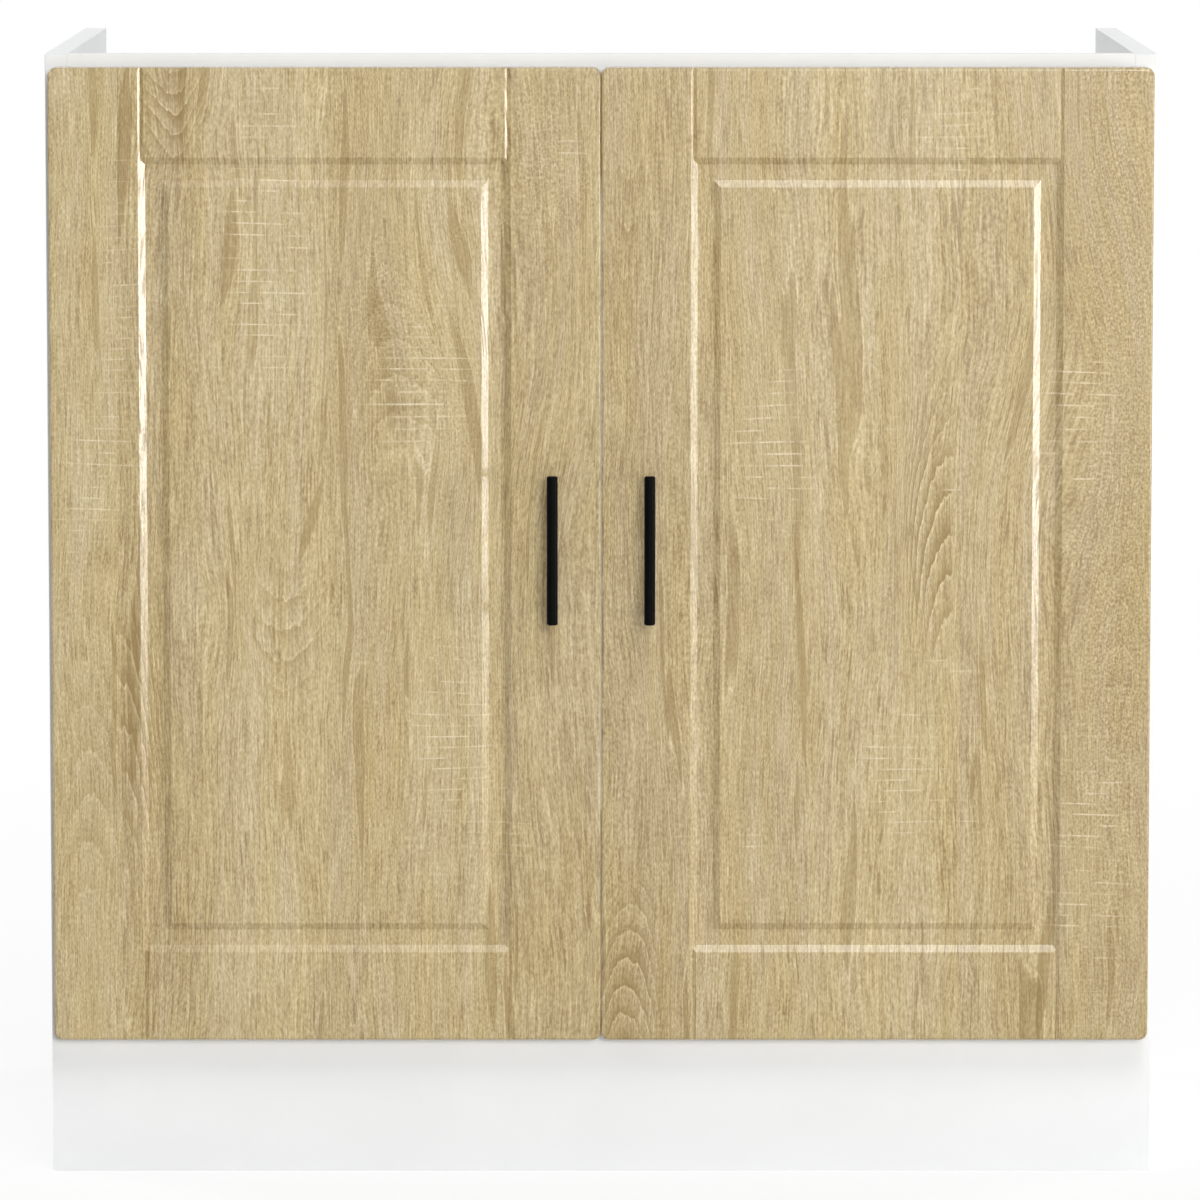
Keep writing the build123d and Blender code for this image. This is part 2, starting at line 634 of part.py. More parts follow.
for name, side in SIDES.items():
    middle_x = side * (DOOR_GAP + DOOR_WIDTH) / 2
    channel_y = DOOR_FRONT + CHANNEL_DEPTH
    field_inset = FRAME_WIDTH + SLOPE_WIDTH + CHANNEL_WIDTH
    handle_x = side * HANDLE_X
    post_heights = [HANDLE_Z + s * HANDLE_CENTRES / 2 for s in (-1, 1)]
    cup_x = hinge_place(side, complex(CUP_CENTRE, 0))[0]
    ear_x = hinge_place(side, complex(CUP_CENTRE + EAR_OFFSET, 0))[0]
    ear_points = [(ear_x, z + s * EAR_SCREW_SPACING / 2) for z in HINGE_HEIGHTS for s in (-1, 1)]
    bumper_x = side * (DOOR_GAP / 2 + BUMPER_INSET)
    bumper_points = [(bumper_x, FLOOR_PANEL_Z), (bumper_x, DOOR_TOP - BUMPER_INSET)]

    with BuildPart() as door:
        with BuildSketch(facing_front(DOOR_BACK)):
            with Locations((middle_x, DOOR_MIDDLE_Z)):
                RectangleRounded(DOOR_WIDTH, DOOR_HEIGHT, DOOR_CORNER_RADIUS)
        extrude(amount=BOARD)
        fillet(door.faces().sort_by(Axis.Y)[0].edges(), DOOR_EDGE_ROUND)
        # Routed channel with sloping walls, and the raised field that it leaves
        outer = frame_rectangle(DOOR_FRONT, middle_x, FRAME_WIDTH)
        floor = frame_rectangle(channel_y, middle_x, FRAME_WIDTH + SLOPE_WIDTH)
        loft([outer.face(), floor.face()], mode=Mode.SUBTRACT)
        foot = frame_rectangle(channel_y, middle_x, field_inset)
        field = frame_rectangle(DOOR_FRONT + FIELD_DROP, middle_x, field_inset + SLOPE_WIDTH)
        loft([foot.face(), field.face()])
        # V grooves where the rails of the frame meet its stiles. Their outer walls lie in the
        # planes of the channel's walls, which they run into.
        groove_depth = CHANNEL_DEPTH * GROOVE_WIDTH / 2 / SLOPE_WIDTH
        for edge in (-1, 1):
            outer_x = middle_x + edge * (DOOR_WIDTH / 2 - FRAME_WIDTH)
            inner_x = outer_x - edge * GROOVE_WIDTH
            for start in (DOOR_BOTTOM, DOOR_TOP - FRAME_WIDTH - GROOVE_RUN):
                with BuildSketch(Plane.XY.offset(start)) as groove:
                    Polygon(
                        (outer_x, DOOR_FRONT - GROOVE_RUN),
                        (outer_x, DOOR_FRONT),
                        ((outer_x + inner_x) / 2, DOOR_FRONT + groove_depth),
                        (inner_x, DOOR_FRONT),
                        (inner_x, DOOR_FRONT - GROOVE_RUN),
                        align=None,
                    )
                extrude(groove.sketch, amount=FRAME_WIDTH + GROOVE_RUN, mode=Mode.SUBTRACT)
        back = facing_back(DOOR_BACK)
        drill(back, [(-cup_x, z) for z in HINGE_HEIGHTS], CUP_RADIUS + 2 * CLEARANCE, CUP_DEPTH)
        drill(back, [(-x, z) for x, z in ear_points], SCREW_SHANK + CLEARANCE, PILOT_DEPTH)
        drill(back, [(-handle_x, z) for z in post_heights], HANDLE_SCREW_RADIUS + CLEARANCE, BOARD)
    finish(f"door_{name}", door)

    with BuildPart() as hinge_cups:
        for z in HINGE_HEIGHTS:
            with BuildSketch(facing_front(DOOR_BACK + FLANGE)) as flange:
                with Locations((cup_x, z)):
                    Circle(CUP_RADIUS + FLANGE_RIM)
                with Locations((ear_x, z)):
                    RectangleRounded(EAR_WIDTH, EAR_HEIGHT, EAR_WIDTH / 2 - FLANGE_RIM)
            extrude(flange.sketch, amount=FLANGE)
            cup_axis = Plane((cup_x, DOOR_BACK, z), z_dir=(0, -1, 0))
            turned(cup_axis, [(0, CUP_DEPTH, CUP_RADIUS)])
            bore = CUP_RADIUS - CUP_WALL
            turned(cup_axis, [(-FLANGE, FLANGE + CUP_DEPTH - CUP_WALL, bore)], mode=Mode.SUBTRACT)
            with BuildSketch() as lug:
                strap(side, CUP_PIN_OUTER, CUP_PIN_INNER, LUG_WIDTH)
            layers(lug.sketch, z, *LUG_LAYER)
            for pin in (CUP_PIN_OUTER, CUP_PIN_INNER):
                turned(
                    pin_axis(side, pin, z - LUG_LAYER[1]),
                    [(0, 2 * LUG_LAYER[1], PIN_RADIUS + CLEARANCE)],
                    mode=Mode.SUBTRACT,
                )
        flange_face = facing_back(DOOR_BACK + FLANGE)
        drill(flange_face, [(-x, z) for x, z in ear_points], SCREW_SHANK + CLEARANCE, FLANGE)
    finish(f"hinge_cups_{name}", hinge_cups)

    with BuildPart() as cup_pins:
        pin_end = LUG_LAYER[1] - PIN_RECESS
        stub_start = OUTER_LINK_LAYER[0]
        for z in HINGE_HEIGHTS:
            turned(pin_axis(side, CUP_PIN_INNER, z - pin_end), [(0, 2 * pin_end, PIN_RADIUS)])
            stubs = [(start, pin_end - stub_start, PIN_RADIUS) for start in (stub_start, -pin_end)]
            turned(pin_axis(side, CUP_PIN_OUTER, z), stubs)
    finish(f"cup_pins_{name}", cup_pins)

    with BuildPart() as cup_screws:
        for x, z in ear_points:
            point = (x, DOOR_BACK + FLANGE, z)
            pan_screw(Plane(point, z_dir=(0, 1, 0)), length=EAR_SCREW_LENGTH, height=CUP_SCREW_HEIGHT)
    finish(f"cup_screws_{name}", cup_screws)

    bar_y = DOOR_FRONT - HANDLE_CLEARANCE - HANDLE_DIAMETER / 2
    with BuildPart() as handle_bar:
        bar_axis = Plane((handle_x, bar_y, HANDLE_Z - HANDLE_LENGTH / 2))
        turned(bar_axis, [(0, HANDLE_LENGTH, HANDLE_DIAMETER / 2)])
        chamfer(handle_bar.edges().filter_by(GeomType.CIRCLE), HANDLE_CHAMFER)
    finish(f"handle_bar_{name}", handle_bar)

    with BuildPart() as handle_posts:
        for z in post_heights:
            foot_plane = Plane((handle_x, DOOR_FRONT, z), z_dir=(0, -1, 0))
            turned(foot_plane, [(0, HANDLE_CLEARANCE + HANDLE_DIAMETER / 2, POST_RADIUS)])
            bore = [(0, HANDLE_SCREW_GRIP, HANDLE_SCREW_RADIUS + CLEARANCE)]
            turned(foot_plane, bore, mode=Mode.SUBTRACT)
        turned(bar_axis, [(0, HANDLE_LENGTH, HANDLE_DIAMETER / 2)], mode=Mode.SUBTRACT)
    finish(f"handle_posts_{name}", handle_posts)

    with BuildPart() as handle_screws:
        for z in post_heights:
            pan_screw(
                Plane((handle_x, DOOR_BACK, z), z_dir=(0, 1, 0)),
                length=BOARD + HANDLE_SCREW_GRIP,
                shank=HANDLE_SCREW_RADIUS,
                head=HANDLE_SCREW_HEAD,
            )
    finish(f"handle_screws_{name}", handle_screws)

    with BuildPart() as bumpers:
        for x, z in bumper_points:
            turned(Plane((x, DOOR_BACK, z), z_dir=(0, 1, 0)), [(0, BUMPER_HEIGHT, BUMPER_RADIUS)])
        chamfer(bumpers.edges().filter_by(GeomType.CIRCLE).group_by(Axis.Y)[-1], BUMPER_CHAMFER)
    finish(f"bumpers_{name}", bumpers)

os.makedirs("parts", exist_ok=True)
for name, part in parts.items():
    export_step(part, f"parts/{name}.step")
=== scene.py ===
"""Studio scene of a sink base cabinet: its finishes, its screws, the light and the camera.

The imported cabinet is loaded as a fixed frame. Its boards, doors and hinges keep their shape and
get procedural finishes, and its screws are modelled here with threads and cross recesses.
Lengths are metres in the cabinet's own frame: +X to the right, -Y out of the doors, +Z up.
Only the patterns of the finishes work in millimetres.
"""

import logging
import math
from collections.abc import Mapping, Sequence
from dataclasses import dataclass, replace
from enum import Enum
from functools import reduce
from operator import add

import bmesh
import bpy
from bpy.types import ColorRamp, Material, NodeSocket, Object, World
from mathutils import Euler, Matrix, Vector


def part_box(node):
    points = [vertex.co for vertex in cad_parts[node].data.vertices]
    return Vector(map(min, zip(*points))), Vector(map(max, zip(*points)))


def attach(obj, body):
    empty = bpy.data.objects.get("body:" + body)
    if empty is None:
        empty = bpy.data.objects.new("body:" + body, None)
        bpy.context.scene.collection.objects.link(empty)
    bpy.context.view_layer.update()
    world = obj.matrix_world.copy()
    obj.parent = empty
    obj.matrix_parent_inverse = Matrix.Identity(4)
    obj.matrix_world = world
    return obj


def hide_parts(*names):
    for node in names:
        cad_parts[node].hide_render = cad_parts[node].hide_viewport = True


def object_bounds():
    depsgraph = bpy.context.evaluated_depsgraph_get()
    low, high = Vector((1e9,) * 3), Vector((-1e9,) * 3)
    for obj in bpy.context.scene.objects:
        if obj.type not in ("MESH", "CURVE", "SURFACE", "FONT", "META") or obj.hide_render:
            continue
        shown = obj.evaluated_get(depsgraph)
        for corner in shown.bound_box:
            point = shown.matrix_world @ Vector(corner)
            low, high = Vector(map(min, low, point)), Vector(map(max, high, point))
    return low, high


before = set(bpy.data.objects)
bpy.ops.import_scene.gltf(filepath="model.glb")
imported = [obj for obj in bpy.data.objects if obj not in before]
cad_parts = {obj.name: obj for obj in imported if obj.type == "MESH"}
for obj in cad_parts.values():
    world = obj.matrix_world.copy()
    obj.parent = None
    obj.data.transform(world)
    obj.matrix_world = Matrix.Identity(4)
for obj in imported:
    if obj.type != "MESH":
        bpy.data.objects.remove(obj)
CAD_LOW, CAD_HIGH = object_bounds()

LOG = logging.getLogger("cabinet")
MM = 0.001
SIDES = ("left", "right")

Colour = tuple[float, float, float, float]
Size = tuple[float, float, float]
Span = tuple[float, float]
Inputs = Mapping[int | str, object]
WHITE: Colour = (1.0, 1.0, 1.0, 1.0)


def srgb(red: int, green: int, blue: int) -> Colour:
    """Linear colour of a screen colour.

    Args:
        red: Red from 0 to 255.
        green: Green from 0 to 255.
        blue: Blue from 0 to 255.

    Returns:
        The linear colour with full alpha.
    """
    linear = [((c / 255 + 0.055) / 1.055) ** 2.4 for c in (red, green, blue)]
    return (*linear, 1.0)


# ------------------------------------------------------------------------------ shader trees


class Value:
    """One output socket of a shader tree, whose arithmetic adds Math nodes."""

    def __init__(self, tree: "Tree", socket: NodeSocket) -> None:
        """Wrap a socket of a tree."""
        self.tree = tree
        self.socket = socket

    def __add__(self, other: "Value | float") -> "Value":
        """Sum."""
        return self.tree.math("ADD", self, other)

    def __radd__(self, other: float) -> "Value":
        """Sum, reflected."""
        return self.tree.math("ADD", other, self)

    def __sub__(self, other: "Value | float") -> "Value":
        """Difference."""
        return self.tree.math("SUBTRACT", self, other)

    def __rsub__(self, other: float) -> "Value":
        """Difference, reflected."""
        return self.tree.math("SUBTRACT", other, self)

    def __mul__(self, other: "Value | float") -> "Value":
        """Product."""
        return self.tree.math("MULTIPLY", self, other)

    def __rmul__(self, other: float) -> "Value":
        """Product, reflected."""
        return self.tree.math("MULTIPLY", other, self)

    def __truediv__(self, other: "Value | float") -> "Value":
        """Quotient."""
        return self.tree.math("DIVIDE", self, other)

    def __rtruediv__(self, other: float) -> "Value":
        """Quotient, reflected."""
        return self.tree.math("DIVIDE", other, self)

    def above(self, limit: float) -> "Value":
        """One where the value is over a limit, else zero."""
        return self.tree.math("GREATER_THAN", self, limit)

    def least(self, other: "Value | float") -> "Value":
        """The smaller of two values."""
        return self.tree.math("MINIMUM", self, other)

    def most(self, other: "Value | float") -> "Value":
        """The larger of two values."""
        return self.tree.math("MAXIMUM", self, other)

    def fraction(self) -> "Value":
        """What is left over after the whole number."""
        return self.tree.math("FRACT", self)

    def whole(self) -> "Value":
        """The whole number below the value."""
        return self.tree.math("FLOOR", self)

    def size(self) -> "Value":
        """The value without its sign."""
        return self.tree.math("ABSOLUTE", self)

    def root(self) -> "Value":
        """Square root."""
        return self.tree.math("SQRT", self)

    def exponential(self) -> "Value":
        """The number e to the power of the value."""
        return self.tree.math("EXPONENT", self)

    def squashed(self) -> "Value":
        """Hyperbolic tangent."""
        return self.tree.math("TANH", self)

    def rise(self, low: float, high: float) -> "Value":
        """Smooth step from 0 at the low end to 1 at the high end."""
        limits = {"Value": self, "From Min": low, "From Max": high}
        return self.tree.add("ShaderNodeMapRange", {"interpolation_type": "SMOOTHSTEP"}, limits)


Place = tuple[Value, Value, Value]


class Tree:
    """The shader tree of one material or of the world."""

    def __init__(self, owner: Material | World) -> None:
        """Empty the tree of a new material or world."""
        owner.use_nodes = True
        self.owner = owner
        self.nodes = owner.node_tree.nodes
        self.links = owner.node_tree.links
        self.nodes.clear()

    @classmethod
    def of_material(cls, name: str) -> "Tree":
        """The empty tree of a new material."""
        return cls(bpy.data.materials.new(name))

    def add(
        self,
        kind: str,
        settings: Mapping[str, object] | None = None,
        inputs: Inputs | None = None,
        output: int | str = 0,
    ) -> Value | None:
        """Add a node of any type.

        Args:
            kind: The node's type.
            settings: Properties, set first. The stops of a ramp are (place, colour) pairs.
            inputs: A number, a colour or a link for each socket that isn't at its default.
            output: The output socket to use.

        Returns:
            The output socket, or nothing for a node that has none.
        """
        node = self.nodes.new(kind)
        for key, setting in (settings or {}).items():
            if key == "stops":
                self._set_stops(node.color_ramp, setting)
            else:
                setattr(node, key, setting)
        for key, given in (inputs or {}).items():
            if isinstance(given, Value):
                self.links.new(given.socket, node.inputs[key])
            else:
                node.inputs[key].default_value = given
        return Value(self, node.outputs[output]) if node.outputs else None

    @staticmethod
    def _set_stops(ramp: ColorRamp, stops: Sequence[tuple[float, Colour]]) -> None:
        """Give a new colour ramp its stops, from the first to the last."""
        while len(ramp.elements) < len(stops):
            ramp.elements.new(1.0)
        for element, (place, colour) in zip(ramp.elements, stops):
            element.position = place
            element.color = colour

    def math(self, operation: str, *operands: "Value | float") -> Value:
        """Add a Math node."""
        return self.add("ShaderNodeMath", {"operation": operation}, dict(enumerate(operands)))

    def object_place(self) -> Place:
        """The object's own X, Y and Z, in millimetres."""
        place = self.add("ShaderNodeTexCoord", output="Object")
        apart = [self.add("ShaderNodeSeparateXYZ", None, {0: place}, axis) for axis in "XYZ"]
        return tuple(value / MM for value in apart)

    def levelness(self) -> Value:
        """One on faces that look straight up or down, zero on upright ones."""
        normal = self.add("ShaderNodeTexCoord", output="Normal")
        return self.add("ShaderNodeSeparateXYZ", None, {0: normal}, "Z").size()

    def noise(self, *place: "Value | float", detail: float, roughness: float) -> Value:
        """Noise at a place, whose cells are one unit wide.

        Args:
            place: Up to three coordinates. What isn't given is zero.
            detail: Octaves beyond the first.
            roughness: Strength of each octave against the one before.

        Returns:
            A value about 0.5.
        """
        vector = self.add("ShaderNodeCombineXYZ", None, dict(enumerate(place)))
        inputs = {"Vector": vector, "Scale": 1.0, "Detail": detail, "Roughness": roughness}
        return self.add("ShaderNodeTexNoise", {"noise_dimensions": "3D"}, inputs)

    def mix(self, first: "Value | Colour", second: "Value | Colour", share: "Value | float") -> Value:
        """Mix two colours."""
        inputs = {0: share, 6: first, 7: second}
        return self.add("ShaderNodeMix", {"data_type": "RGBA"}, inputs, 2)

    def ramp(self, place: Value, colours: Sequence[Colour]) -> Value:
        """Colour at a place from 0 to 1, over which some colours are spread evenly."""
        last = len(colours) - 1
        stops = [(index / last, colour) for index, colour in enumerate(colours)]
        return self.add("ShaderNodeValToRGB", {"stops": stops}, {0: place})

    def dress(self, inputs: Inputs) -> Material:
        """Close the tree with a Principled surface of the given inputs."""
        return self.close(self.add("ShaderNodeBsdfPrincipled", None, inputs))

    def close(self, surface: Value) -> Material | World:
        """Send a surface, or the world's light, to the output of the material or the world."""
        kind = "World" if isinstance(self.owner, World) else "Material"
        self.add(f"ShaderNodeOutput{kind}", None, {"Surface": surface})
        return self.owner


# ------------------------------------------------------------------------------ patterns


@dataclass(frozen=True)
class Relief:
    """How deep a pattern is pressed into a surface, in metres, and how much of it shows."""

    depth: float
    strength: float = 0.5

    def normal(self, height: Value) -> Value:
        """Surface normal over heights from 0 to 1."""
        inputs = {"Height": height, "Distance": self.depth, "Strength": self.strength}
        return height.tree.add("ShaderNodeBump", None, inputs)


@dataclass(frozen=True)
class Mottle:
    """Noise all through an object, with cells of a size, in millimetres."""

    cell: Size
    detail: float = 2.0
    roughness: float = 0.5

    @classmethod
    def even(cls, cell: float, detail: float = 2.0) -> "Mottle":
        """Noise whose cells are as long as they are wide."""
        return cls((cell, cell, cell), detail)

    def at(self, place: Place) -> Value:
        """The noise at a place, about 0.5."""
        scaled = [value / size for value, size in zip(place, self.cell)]
        return place[0].tree.noise(*scaled, detail=self.detail, roughness=self.roughness)


@dataclass(frozen=True)
class Layer:
    """One layer of noise in the oak print, with cells that are long up the grain.

    Width and length are in millimetres, and the seed tells a layer from the others. A mask of
    the layer starts, and is full, at two levels of its noise, which stays about 0.5.
    """

    width: float
    length: float
    seed: float
    strength: float = 1.0
    detail: float = 2.0
    roughness: float = 0.5
    start: float = 0.0
    full: float = 1.0

    def noise(self, across: Value, z: Value, seed: "Value | float" = 0.0) -> Value:
        """The layer's noise, about 0.5, with a seed of the printed board."""
        place = (across / self.width, z / self.length, seed + self.seed)
        return across.tree.noise(*place, detail=self.detail, roughness=self.roughness)

    def swing(self, across: Value, z: Value, seed: "Value | float" = 0.0) -> Value:
        """The noise about zero, mostly between -1 and 1."""
        return (self.noise(across, z, seed) - 0.5) * 4.0

    def mask(self, across: Value, z: Value, seed: "Value | float" = 0.0) -> Value:
        """Where the layer shows, from 0 to 1."""
        return self.noise(across, z, seed).rise(self.start, self.full)


@dataclass(frozen=True)
class Spot:
    """A soft patch of a pattern on the doors' front, in millimetres."""

    x: float
    z: float
    width: float
    height: float
    strength: float = 1.0

    def patch(self, x: Value, z: Value) -> Value:
        """Strength of the round patch, greatest in its middle.

        Args:
            x: Place across the grain.
            z: Height.

        Returns:
            A value from the spot's strength down to zero.
        """
        across = (x - self.x) / self.width
        along = (z - self.z) / self.height
        return ((across * across + along * along) * -1.0).exponential() * self.strength


@dataclass(frozen=True)
class Flame:
    """One tapered streak of darker wood with a crisp outline, in millimetres."""

    x: float
    z: float
    half_width: float
    half_height: float
    lean: float = 0.0
    edge: float = 1.2

    def mask(self, x: Value, z: Value) -> Value:
        """Where the streak is.

        Args:
            x: Place across the grain.
            z: Height. The streak's upper end leans to the right by its lean.

        Returns:
            A value from 0 outside to 1 inside.
        """
        along = (z - self.z) / self.half_height
        away = (x - self.x - along * self.lean).size()
        room = (1.0 - along * along) * self.half_width - away
        return room.rise(0.0, self.edge)


@dataclass(frozen=True)
class Cathedral:
    """Nested pointed arches of the growth rings, on the doors' front, in millimetres.

    A negative rise points the arches down. A side of -1 or 1 keeps only their left or right
    half, as where the edge of a board cuts them.
    """

    x: float
    z: float
    width: float
    height: float
    half_arch: float
    rise: float
    strength: float = 1.0
    side: int = 0
    # The pale rim of each ring, as shares of the way through it
    rim_start: float = 0.8
    rim_top: float = 0.97

    def rings(self, x: Value, z: Value, ragged: Value) -> tuple[Value, Value]:
        """Dark side and pale rim of the arches.

        Args:
            x: Place across the grain.
            z: Height.
            ragged: Small unevenness of the rings.

        Returns:
            Two strengths from 0 up.
        """
        across = (x - self.x) / self.half_arch
        ring = (across * across + (z - self.z) / self.rise + ragged).fraction()
        middle = self.x + self.side * self.width * 0.5
        patch = Spot(middle, self.z, self.width, self.height, self.strength).patch(x, z)
        if self.side:
            patch = patch * ((x - self.x) * self.side).above(0.0)
        dark = (1.0 - ring) * (1.0 - ring) * patch
        rim = ring.rise(self.rim_start, self.rim_top) * (1.0 - ring.rise(self.rim_top, 1.0))
        return dark, rim * patch


# ------------------------------------------------------------------------------ finishes


@dataclass(frozen=True)
class OakFoil:
    """Oak-print foil on the routed doors, white on the doors' back.

    The print is a row of upright boards with fine fibre, flames of darker wood, arches of growth
    rings, grain that leans or parts, and clusters of pale marks such as a band saw leaves.
    """

    name: str = "oak_foil"
    golden: tuple[Colour, ...] = (srgb(152, 127, 80), srgb(194, 173, 124), srgb(226, 208, 160))
    greige: tuple[Colour, ...] = (srgb(155, 132, 92), srgb(195, 176, 136), srgb(229, 213, 177))
    saw_cream: Colour = srgb(230, 215, 180)
    backing: Colour = srgb(232, 232, 230)
    backing_thickness: float = 0.2

    # The printed boards: where each one starts, and its tone in hundredths. The tones are the print's
    # own, and the right-hand boards are also darkened as painted shade that offsets the stronger light
    # from the right
    board_edges: tuple[float, ...] = (-347, -288, -196, -139, -72, 0, 64, 150, 259, 332)
    board_tones_and_painted_shade: tuple[float, ...] = (2, -8, 3, -4, 2, -8, -11, -4, 1, -6, -12)
    board_seed: float = 17.3

    # How deep the routing goes, beyond which the print follows the edges of the door
    routing: float = 4.5
    level_from: float = 0.7

    # How the grain bends, in millimetres
    bend: Layer = Layer(70.0, 230.0, 0.0, 5.0, detail=1.0)
    waver: Layer = Layer(16.0, 60.0, 3.0, 1.1, detail=1.0)
    ragged: Layer = Layer(3.0, 11.0, 41.0)

    # What lightens or darkens the wood
    cloud: Layer = Layer(26.0, 420.0, 0.0, 0.03)
    stripe: Layer = Layer(7.0, 260.0, 5.0, 0.045)
    fibre: Layer = Layer(1.05, 34.0, 9.0, 0.27, detail=1.0, roughness=0.7)
    fleck: Layer = Layer(1.0, 3.2, 13.0, 0.26, detail=1.0)
    pore: Layer = Layer(1.2, 22.0, 21.0, 0.3, detail=0.0, start=0.58, full=0.72)
    streak: Layer = Layer(1.2, 30.0, 25.0, 0.16, detail=0.0, start=0.6, full=0.72)
    stipple: Layer = Layer(1.6, 2.2, 51.0, 0.34, detail=1.0)
    scattered_pores: float = 0.05
    calm_in_dots: float = 0.4
    calm_in_flames: float = 0.5

    # Where pores crowd, where the wood is greige, and where the fibre breaks up into dots
    crowd: Layer = Layer(14.0, 140.0, 27.0, detail=1.0, start=0.36, full=0.62)
    hue: Layer = Layer(17.0, 180.0, 31.0, start=0.25, full=0.75)
    broken: Layer = Layer(22.0, 34.0, 57.0, 0.6, detail=1.0, start=0.55, full=0.75)

    # Flames and the rims round them
    flame_field: Layer = Layer(12.0, 230.0, 37.0, 0.8, detail=1.0, start=0.655, full=0.675)
    flame_ragged: float = 0.008
    flame_depth: float = 0.25
    golden_in_flames: float = 0.7
    arch_ragged: float = 0.12
    rim_level: float = 0.648
    rim_fade: Span = (0.003, 0.01)
    rim_gain: float = 0.16

    # Saw marks: rows of broken lines across the grain
    saw_field: Layer = Layer(48.0, 70.0, 71.0, 0.7, detail=1.0, start=0.6, full=0.8)
    saw_drift: Layer = Layer(160.0, 90.0, 77.0, 0.4, detail=0.0)
    saw_dash: Layer = Layer(30.0, 1.0, 83.0, roughness=0.7, start=0.42, full=0.62)
    saw_break: Layer = Layer(2.2, 1.0, 89.0, 0.6, detail=1.0, start=0.3, full=0.6)
    saw_pitch: float = 8.2
    saw_row_seed: float = 3.7
    saw_line_fade: Span = (0.03, 0.1)
    saw_patch_fade: Span = (0.15, 0.8)
    saw_strength: float = 0.85
    saw_weave: float = 0.1225

    # Gloss and relief of the foil
    roughness: float = 0.2
    fleck_roughness: float = 0.02
    pore_roughness: float = 0.1
    backing_roughness: float = 0.42
    fibre_relief: float = 0.3
    pore_relief: float = 0.4
    relief: Relief = Relief(0.06 * MM)

    stippled: tuple[Spot, ...] = (
        Spot(372, 520, 34, 420, 1.3), Spot(-42, 740, 34, 70, 0.9), Spot(-150, 625, 40, 60, 0.8),
        Spot(-110, 560, 24, 50, 0.7),
    )
    # Where the grain parts round a knot, and where it leans
    knots: tuple[Spot, ...] = (
        Spot(-262, 415, 22, 44, 16), Spot(-132, 560, 26, 60, -12), Spot(42, 365, 24, 60, 12),
        Spot(216, 500, 24, 110, 14), Spot(-300, 760, 24, 30, 14),
    )
    leans: tuple[Spot, ...] = (
        Spot(366, 690, 34, 120, 34), Spot(300, 560, 40, 110, -26), Spot(-40, 540, 34, 110, -22),
        Spot(-120, 640, 40, 90, 20), Spot(118, 600, 30, 160, 14),
    )
    arches: tuple[Cathedral, ...] = (
        Cathedral(-310, 772, 26, 34, 16, -15, 1.5),
        Cathedral(-347, 330, 26, 100, 13, 34, 1.4, side=1),
        Cathedral(-372, 280, 20, 95, 20, 34, 0.8),
        Cathedral(-150, 585, 40, 70, 22, 26, 0.8),
        Cathedral(18, 140, 26, 70, 13, 20, 1.5),
        Cathedral(258, 470, 34, 90, 16, 29, 2.2, side=-1),
        Cathedral(-226, 400, 30, 60, 24, -22, 0.9),
        Cathedral(20, 690, 18, 80, 14, -36, 0.7),
        Cathedral(372, 420, 18, 90, 16, 30, 0.6),
    )
    flames: tuple[Flame, ...] = (
        Flame(-342, 745, 6, 70, 1), Flame(-269, 678, 5, 46, 2), Flame(-201, 543, 2, 48, 4),
        Flame(-96, 676, 6, 40, -4), Flame(-101, 566, 7, 72, -11), Flame(-209, 478, 4, 34, 8),
        Flame(177, 467, 1.6, 30, -4), Flame(273, 294, 2.5, 24, 3), Flame(141, 380, 4, 90, -6),
        Flame(-338, 360, 5, 80, 2), Flame(-78, 160, 5, 60, -3), Flame(322, 150, 4, 60, 4),
    )
    # Clusters of saw marks
    marks: tuple[Spot, ...] = (
        Spot(-238, 690, 30, 110, 1.2), Spot(-130, 580, 40, 62, 1.0),
        Spot(-108, 330, 30, 66, 1.0), Spot(-38, 745, 34, 26, 0.7), Spot(122, 520, 38, 60, 0.8),
        Spot(222, 300, 34, 70, 0.8), Spot(-372, 510, 26, 70, 0.8), Spot(-345, 660, 20, 120, 0.6),
        Spot(345, 560, 40, 60, 0.8), Spot(352, 230, 34, 110, 0.8), Spot(260, 770, 50, 30, 0.5),
        Spot(-60, 240, 30, 60, 0.4),
    )

    def make(self) -> Material:
        """Build the material.

        Returns:
            The material.
        """
        tree = Tree.of_material(self.name)
        x, y, z = tree.object_place()
        door_front, door_back = (corner.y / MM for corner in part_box("door_left"))
        # The foil turns round the doors' edges, where depth carries the print on
        turned = (y - door_front - self.routing).most(0.0)
        level = tree.levelness().above(self.level_from)
        across = x + turned * (1.0 - level)
        z = z + turned * level

        # tone is the boards' print tone plus painted shade on the right-hand boards
        board, tone = self._boards(across)
        seed = board * self.board_seed
        grain = self._grain(across, z, seed)
        fibre = self.fibre.swing(grain, z, seed)
        fleck = self.fleck.swing(grain, z, seed)
        pore = self.pore.mask(grain, z, seed)
        crowd = self.crowd.mask(grain, z, seed)
        dotted = self._dotted(across, z)
        flame, rim = self._flames(grain, z, seed)
        calm = 1.0 - flame.least(1.0) * self.calm_in_flames

        fine = fibre * self.fibre.strength + fleck * self.fleck.strength
        # tone brings in the print's board tones and the painted shade of the right-hand boards
        light = 0.5 + tone + fine * calm * (1.0 - dotted * self.calm_in_dots)
        for layer in (self.cloud, self.stripe):
            light = light + layer.swing(grain, z, seed) * layer.strength
        light = light + self.stipple.swing(across, z) * dotted * self.stipple.strength
        light = light + self.streak.mask(grain, z, seed) * (1.0 - crowd) * self.streak.strength
        light = light - pore * (crowd * self.pore.strength + self.scattered_pores) * calm
        light = light - flame * self.flame_depth + rim * self.rim_gain
        greige = self.hue.mask(grain, z, seed) * (1.0 - flame * self.golden_in_flames)
        colour = tree.mix(tree.ramp(light, self.golden), tree.ramp(light, self.greige), greige)
        colour = tree.mix(colour, self.saw_cream, self._saw_marks(across, z, fibre))

